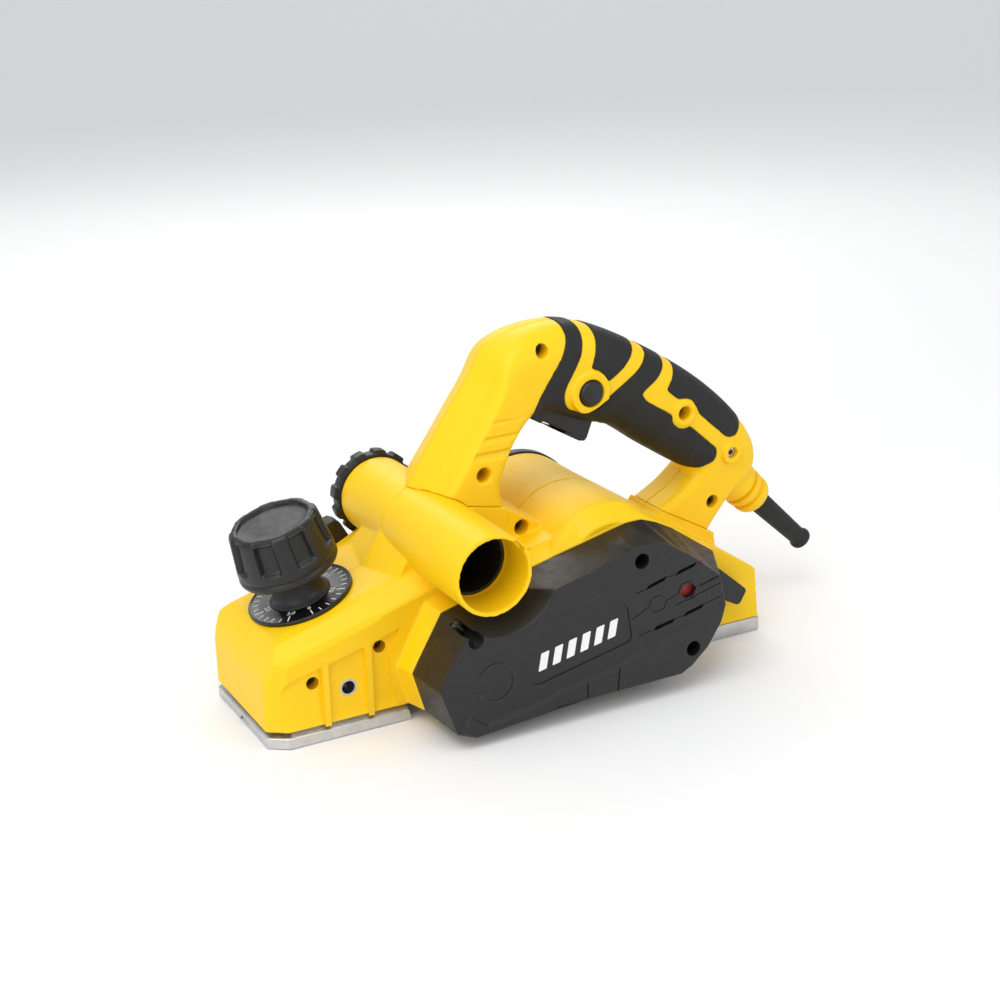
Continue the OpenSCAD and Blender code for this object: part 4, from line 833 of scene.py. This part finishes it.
o = ring_solid("dial_plate_skin", tuple(KO), tuple(KA), dp, 160)
shade(o, 40)
piece(o, "dial", "depth_knob_assembly", "dial", "dial_plate")
# scale: 0 faces the user, numbers rise anticlockwise
_, U, W, A = frame_to(tuple(KO), tuple(KA), (0, 0, 1))
e0 = Vector((math.cos(KT), 0, math.sin(KT)))      # up the slope, in the dial's plane
e1 = Vector((0, 1, 0))


def dial_pt(r, deg, h):
    t = math.radians(deg)
    q = KO + (e0 * math.cos(t) + e1 * math.sin(t)) * r + A * h
    return P(*q)


# where the camera side line lies on the dial
ZERO = -98.0
marks = []
for i in range(31):
    deg = ZERO + 11.0 * i
    L = 4.6 if i % 5 == 0 else 3.0
    hw = 0.32 if i % 5 == 0 else 0.26
    r0, r1 = 24.9 - L, 24.9
    dt = lambda r: math.degrees(hw / r)
    v = [dial_pt(r0, deg - dt(r0), 1.62), dial_pt(r1, deg - dt(r1), 1.62), dial_pt(r1, deg + dt(r1), 1.62), dial_pt(r0, deg + dt(r0), 1.62),
         dial_pt(r0, deg - dt(r0), 1.74), dial_pt(r1, deg - dt(r1), 1.74), dial_pt(r1, deg + dt(r1), 1.74), dial_pt(r0, deg + dt(r0), 1.74)]
    marks.append(make("m", v, [[0, 1, 2, 3], [4, 5, 6, 7], [0, 1, 5, 4], [1, 2, 6, 5], [2, 3, 7, 6], [3, 0, 4, 7]]))
for i, txt in enumerate(("0", "0.5", "1.0", "1.5", "2.0", "2.5", "3.0")):
    cu = bpy.data.curves.new("n", "FONT"); cu.body = txt; cu.size = 3.5 * S; cu.extrude = 0.05 * S; cu.align_x = "CENTER"; cu.align_y = "CENTER"
    cu.offset = 0.00008
    ob = bpy.data.objects.new("n", cu); bpy.context.scene.collection.objects.link(ob)
    deg = ZERO + 55.0 * i
    t = math.radians(deg)
    radial = (e0 * math.cos(t) + e1 * math.sin(t)); tang = A.cross(radial)
    pos = KO + radial * 18.0 + A * 1.68
    X = tang; Y = -radial
    ob.matrix_world = Matrix(((X.x, Y.x, A.x, (pos.x + OX) * S), (X.y, Y.y, A.y, pos.y * S), (X.z, Y.z, A.z, pos.z * S), (0, 0, 0, 1)))
    bpy.context.view_layer.update()
    me = bpy.data.meshes.new_from_object(ob.evaluated_get(bpy.context.evaluated_depsgraph_get()))
    me.transform(ob.matrix_world)
    bpy.data.objects.remove(ob)
    nb = bpy.data.objects.new("n", me); bpy.context.scene.collection.objects.link(nb)
    marks.append(nb)
o = join("dial_scale", marks)
piece(o, "white", "depth_knob_assembly", "dial")

# ------------------------------------------------------------------ shoes
def outline(d, f):
    a, b = (f, -34.1 + d * 0.4), (9.4 + d * 0.4 + f * 0.4, -41 + d)
    half = [a, b, (74.9 - d * 0.9, -41 + d)]
    return half + [(x, -y) for x, y in half[::-1]]


def stack(name, rows):
    """closed solid through outlines at growing heights"""
    n = len(rows[0][1]); v, f = [], []
    for z, pts in rows:
        v += [P(x, y, z) for x, y in pts]
    for r in range(len(rows) - 1):
        f += [[r * n + k, r * n + (k + 1) % n, (r + 1) * n + (k + 1) % n, (r + 1) * n + k] for k in range(n)]
    f += [list(range(n))[::-1], [(len(rows) - 1) * n + k for k in range(n)]]
    return make(name, v, f)


o = from_cad("front_shoe_skin", "front_shoe")
boole(o, [box("c", -5, 90, -50, 50, -5, 9.6)])                      # the boss and posts above the plate
plate = stack("p", [(0, outline(0.45, 0.5)), (0.35, outline(0.1, 0.1)), (5.3, outline(0.02, 0.02)), (5.6, outline(0.2, 0.25)), (5.75, outline(0.95, 2.1)), (8.8, outline(2.95, 3.3))])
boole(plate, [box("c", 9, 69.5, -36, 36, 5.6, 14)])
low = from_cad("p", "front_shoe")
boole(low, [box("c", 12, 66, -30, 30, 1.5, 9.65)], "INTERSECT")
boole(plate, [low], "UNION")
boole(plate, [o], "UNION")
groove_ = make("c", [P(x, y, z) for x in (-2, 80) for y, z in ((-4.6, -0.01), (4.6, -0.01), (0, 3.9))], [[0, 1, 2], [3, 4, 5], [0, 1, 4, 3], [1, 2, 5, 4], [2, 0, 3, 5]])
boole(plate, [groove_, prism("c", -50, 50, [(75.4, -1), (78, -1), (78, 13), (71.9, 13), (72.7, 8.8)])])
o = plate; o.name = "front_shoe_skin"
shade(o, 32)
piece(o, "cast", "front_shoe_assembly", "shoe_metal", "front_shoe")
pick(o, "machined", lambda x, y, z, n: n.z < -0.9 and z < 1)
o = from_cad("rear_shoe_skin", "rear_shoe")
bevel(o, 0.35, 2, 40)
piece(o, "cast", BODY, "shoe_metal", "rear_shoe")
pick(o, "machined", lambda x, y, z, n: n.z < -0.9 and z < 1)

# ------------------------------------------------------------------ moulded small parts, edges rounded
def moulded(node, key, body, slot, voxel=0.5, rounds=3, faces=60000):
    o = from_cad(node + "_skin", node)
    soften(o, voxel, rounds, faces)
    return piece(o, key, body, slot, node)


def lobes(r, h, t):
    if r > 20 and 0.6 < h < 8.4:
        ph = abs(((math.degrees(t) - 10) / 30.0) % 1.0 - 0.5)       # 0.5 on a lobe, 0 between
        r += 1.75 * smooth(0.17, 0.27, ph)
    return r


sp = [(0, 0.2), (3, 0.2), (17.4, 0.2), (21.3, 0.2), (21.9, 0.5), (22.15, 1.2), (22.15, 4), (22.15, 6.2), (22.0, 7.2), (21.5, 7.9), (20.6, 8.3), (16.0, 8.35), (15.4, 8.1), (15.1, 7.4), (14.9, 5.2), (14.4, 4.8), (8, 4.75), (3.4, 4.75), (3.0, 4.4), (0, 4.4)]
o = revolve("chip_selector_cap_skin", (101.7, 51.1, 87.2), (0, 1, 0), sp, 288, rad=lobes)
grip = [prism("g", 55.4, 59.2, [(101.7 + x * math.cos(0.4) - z * math.sin(0.4), 87.2 + x * math.sin(0.4) + z * math.cos(0.4)) for x, z in ((-14.9, -2), (14.9, -2), (14.9, 2), (-14.9, 2))])]
bevel(grip[0], 0.5)
boole(o, grip, "UNION")
shade(o, 38)
piece(o, "black", "chip_selector", "black_shell", "chip_selector_cap")
moulded("parking_foot", "black", "kick_foot", "black_shell", 0.4, 4, 40000)
moulded("depth_stop", "black", "rebate_stop", "black_shell", 0.42, 3, 40000)
moulded("depth_stop_knob", "knob", "rebate_stop_clamp", "knob_plastic", 0.35, 3, 40000)
moulded("motor_end_cap", "black", BODY, "black_shell", 0.6, 3, 110000)
o = from_cad("trigger_skin", "trigger")
boole(o, [prism("c", -9.6 - 4, 9.6 + 4, [(171, 132.3), (189, 121.8), (190.5, 120.2), (170, 131.0)])])
soften(o, 0.45, 5, 40000)
piece(o, "black", "switch_trigger", "black_shell", "trigger")
# lock button with a ringed face
lp = [(0, 9), (2.9, 9), (2.9, 11.9), (6.9, 11.9), (6.92, 12.4), (6.92, 19.6), (6.75, 20.5), (6.3, 21.3), (5.6, 21.9), (5.0, 22.2), (4.7, 22.05), (4.45, 22.1), (3.2, 22.5), (1.6, 22.7), (0, 22.75)]
o = revolve("lock_button_skin", (193.6, 0, 146.5), (0, -1, 0), lp, 72)
shade(o, 40)
piece(o, "black", "switch_lock", "black_shell", "lock_button")

# cord guard: hollow, with a collar at its base, tapering down its length to a rounded lip
o3 = []
gp = [(3.7, 9), (8.0, 9), (8.2, 9.3), (8.2, 13.8), (6.5, 14)]
for i in range(20):
    a_ = 15.5 + i * 2.6
    gp.append((6.45 - max(0, a_ - 23) * 0.028, a_))
gp += [(5.2, 66.2), (5.35, 67.0), (5.9, 67.6), (6.3, 68.1), (6.45, 68.8), (6.4, 69.8), (6.1, 70.5), (5.5, 71), (4.2, 71), (3.75, 70.6), (3.7, 70)]
o = ring_solid("cord_guard_skin", tuple(C0), CAX, gp, 64)
shade(o, 40)
piece(o, "rubber", BODY, "soft_grip", "cord_guard")

# chip sleeve, with the deflector inside
o = from_cad("chip_sleeve_skin", "chip_sleeve")
bevel(o, 0.3, 2, 40)
piece(o, "black", "chip_selector", "black_shell", "chip_sleeve")

# ------------------------------------------------------------------ fasteners with real drives
def star(r0, r1, n=6, k=8):
    out = []
    for i in range(n * k):
        a = 2 * math.pi * i / (n * k)
        out.append((r0 + (r1 - r0) * (0.5 + 0.5 * math.cos(n * a)), a))
    return out


def screw(name, x, z, yh, y1, rh, rs, drive=True):
    """pan head with a star recess and a threaded shank, facing -Y"""
    head = revolve("s", (x, yh, z), (0, 1, 0), [(0, 0), (rh * 0.55, 0), (rh * 0.82, 0.25), (rh * 0.97, 0.8), (rh, 1.3), (rh, 2.6), (0, 2.6)], 40)
    st = star(rh * 0.36, rh * 0.56)
    c = prism("s", yh - 1, yh + 1.5, [(x + r * math.cos(a), z + r * math.sin(a)) for r, a in st])
    boole(head, [c])
    th = [(0, 0)]
    h = 0.0
    L = y1 - (yh + 2.6)
    while h < L - 1.2:
        th += [(rs - 0.35, h + 0.05), (rs, h + 0.5), (rs - 0.35, h + 0.95)]
        h += 1.1
    th += [(rs - 0.35, L - 0.6), (rs * 0.4, L), (0, L)]
    sh = revolve("s", (x, yh + 2.59, z), (0, 1, 0), th, 24)
    return join(name, [head, sh])


def screws(name, node, rows, key="dark_steel"):
    o = join(name, [screw("s", *r) for r in rows])
    shade(o, 35)
    piece(o, key, BODY, "dark_steel", node)


screws("housing_screws_skin", "housing_screws", [(23.8, 31.6, -32.8, 28, 3.9, 2), (60.1, 42.7, -32.8, 28, 3.9, 2), (148.3, 83.6, -18.8, 16, 3.9, 2)])
screws("handle_screws_skin", "handle_screws", [(h[0], h[1], -11.8, 13, 3.3, 2) for h in HOLES])
screws("cover_screws_skin", "cover_screws", [(c[0], c[1], -66.9, -41.2, 3.7, 1.7) for c in CSCREW])

# ------------------------------------------------------------------ the rest keeps its CAD shape
rest = {"depth_screw": "steel", "knob_detent_spring": "steel", "fence_insert": "steel", "cutter_drum": "machined", "drum_shaft": "steel",
        "blades": "blade", "blade_clamps": "steel", "blade_screws": "dark_steel", "drum_bearings": "steel", "driven_pulley": "carbon", "drive_pulley": "machined",
        "drive_belt": "belt", "armature_shaft": "steel", "armature_core": "iron", "commutator": "copper", "cooling_fan": "carbon", "motor_bearings": "steel",
        "stator_core": "iron", "field_coils": "copper", "fan_baffle": "black", "brush_holders": "brass", "carbon_brushes": "carbon", "brush_springs": "steel",
        "power_switch": "black", "trigger_pin": "steel", "trigger_spring": "steel", "lock_spring": "steel", "capacitor": "amber", "cable_clamp": "black",
        "foot_pin": "steel", "foot_spring": "steel", "handle_nuts": "steel", "base_screws": "dark_steel"}
for n, key in rest.items():
    ob = NODES[n]
    ob.data.materials.clear()
    ob.data.materials.append(M[key])
    b = ob.modifiers.new("edge", "BEVEL"); b.width = 0.00018; b.segments = 1; b.limit_method = "ANGLE"; b.angle_limit = math.radians(50); b.use_clamp_overlap = True
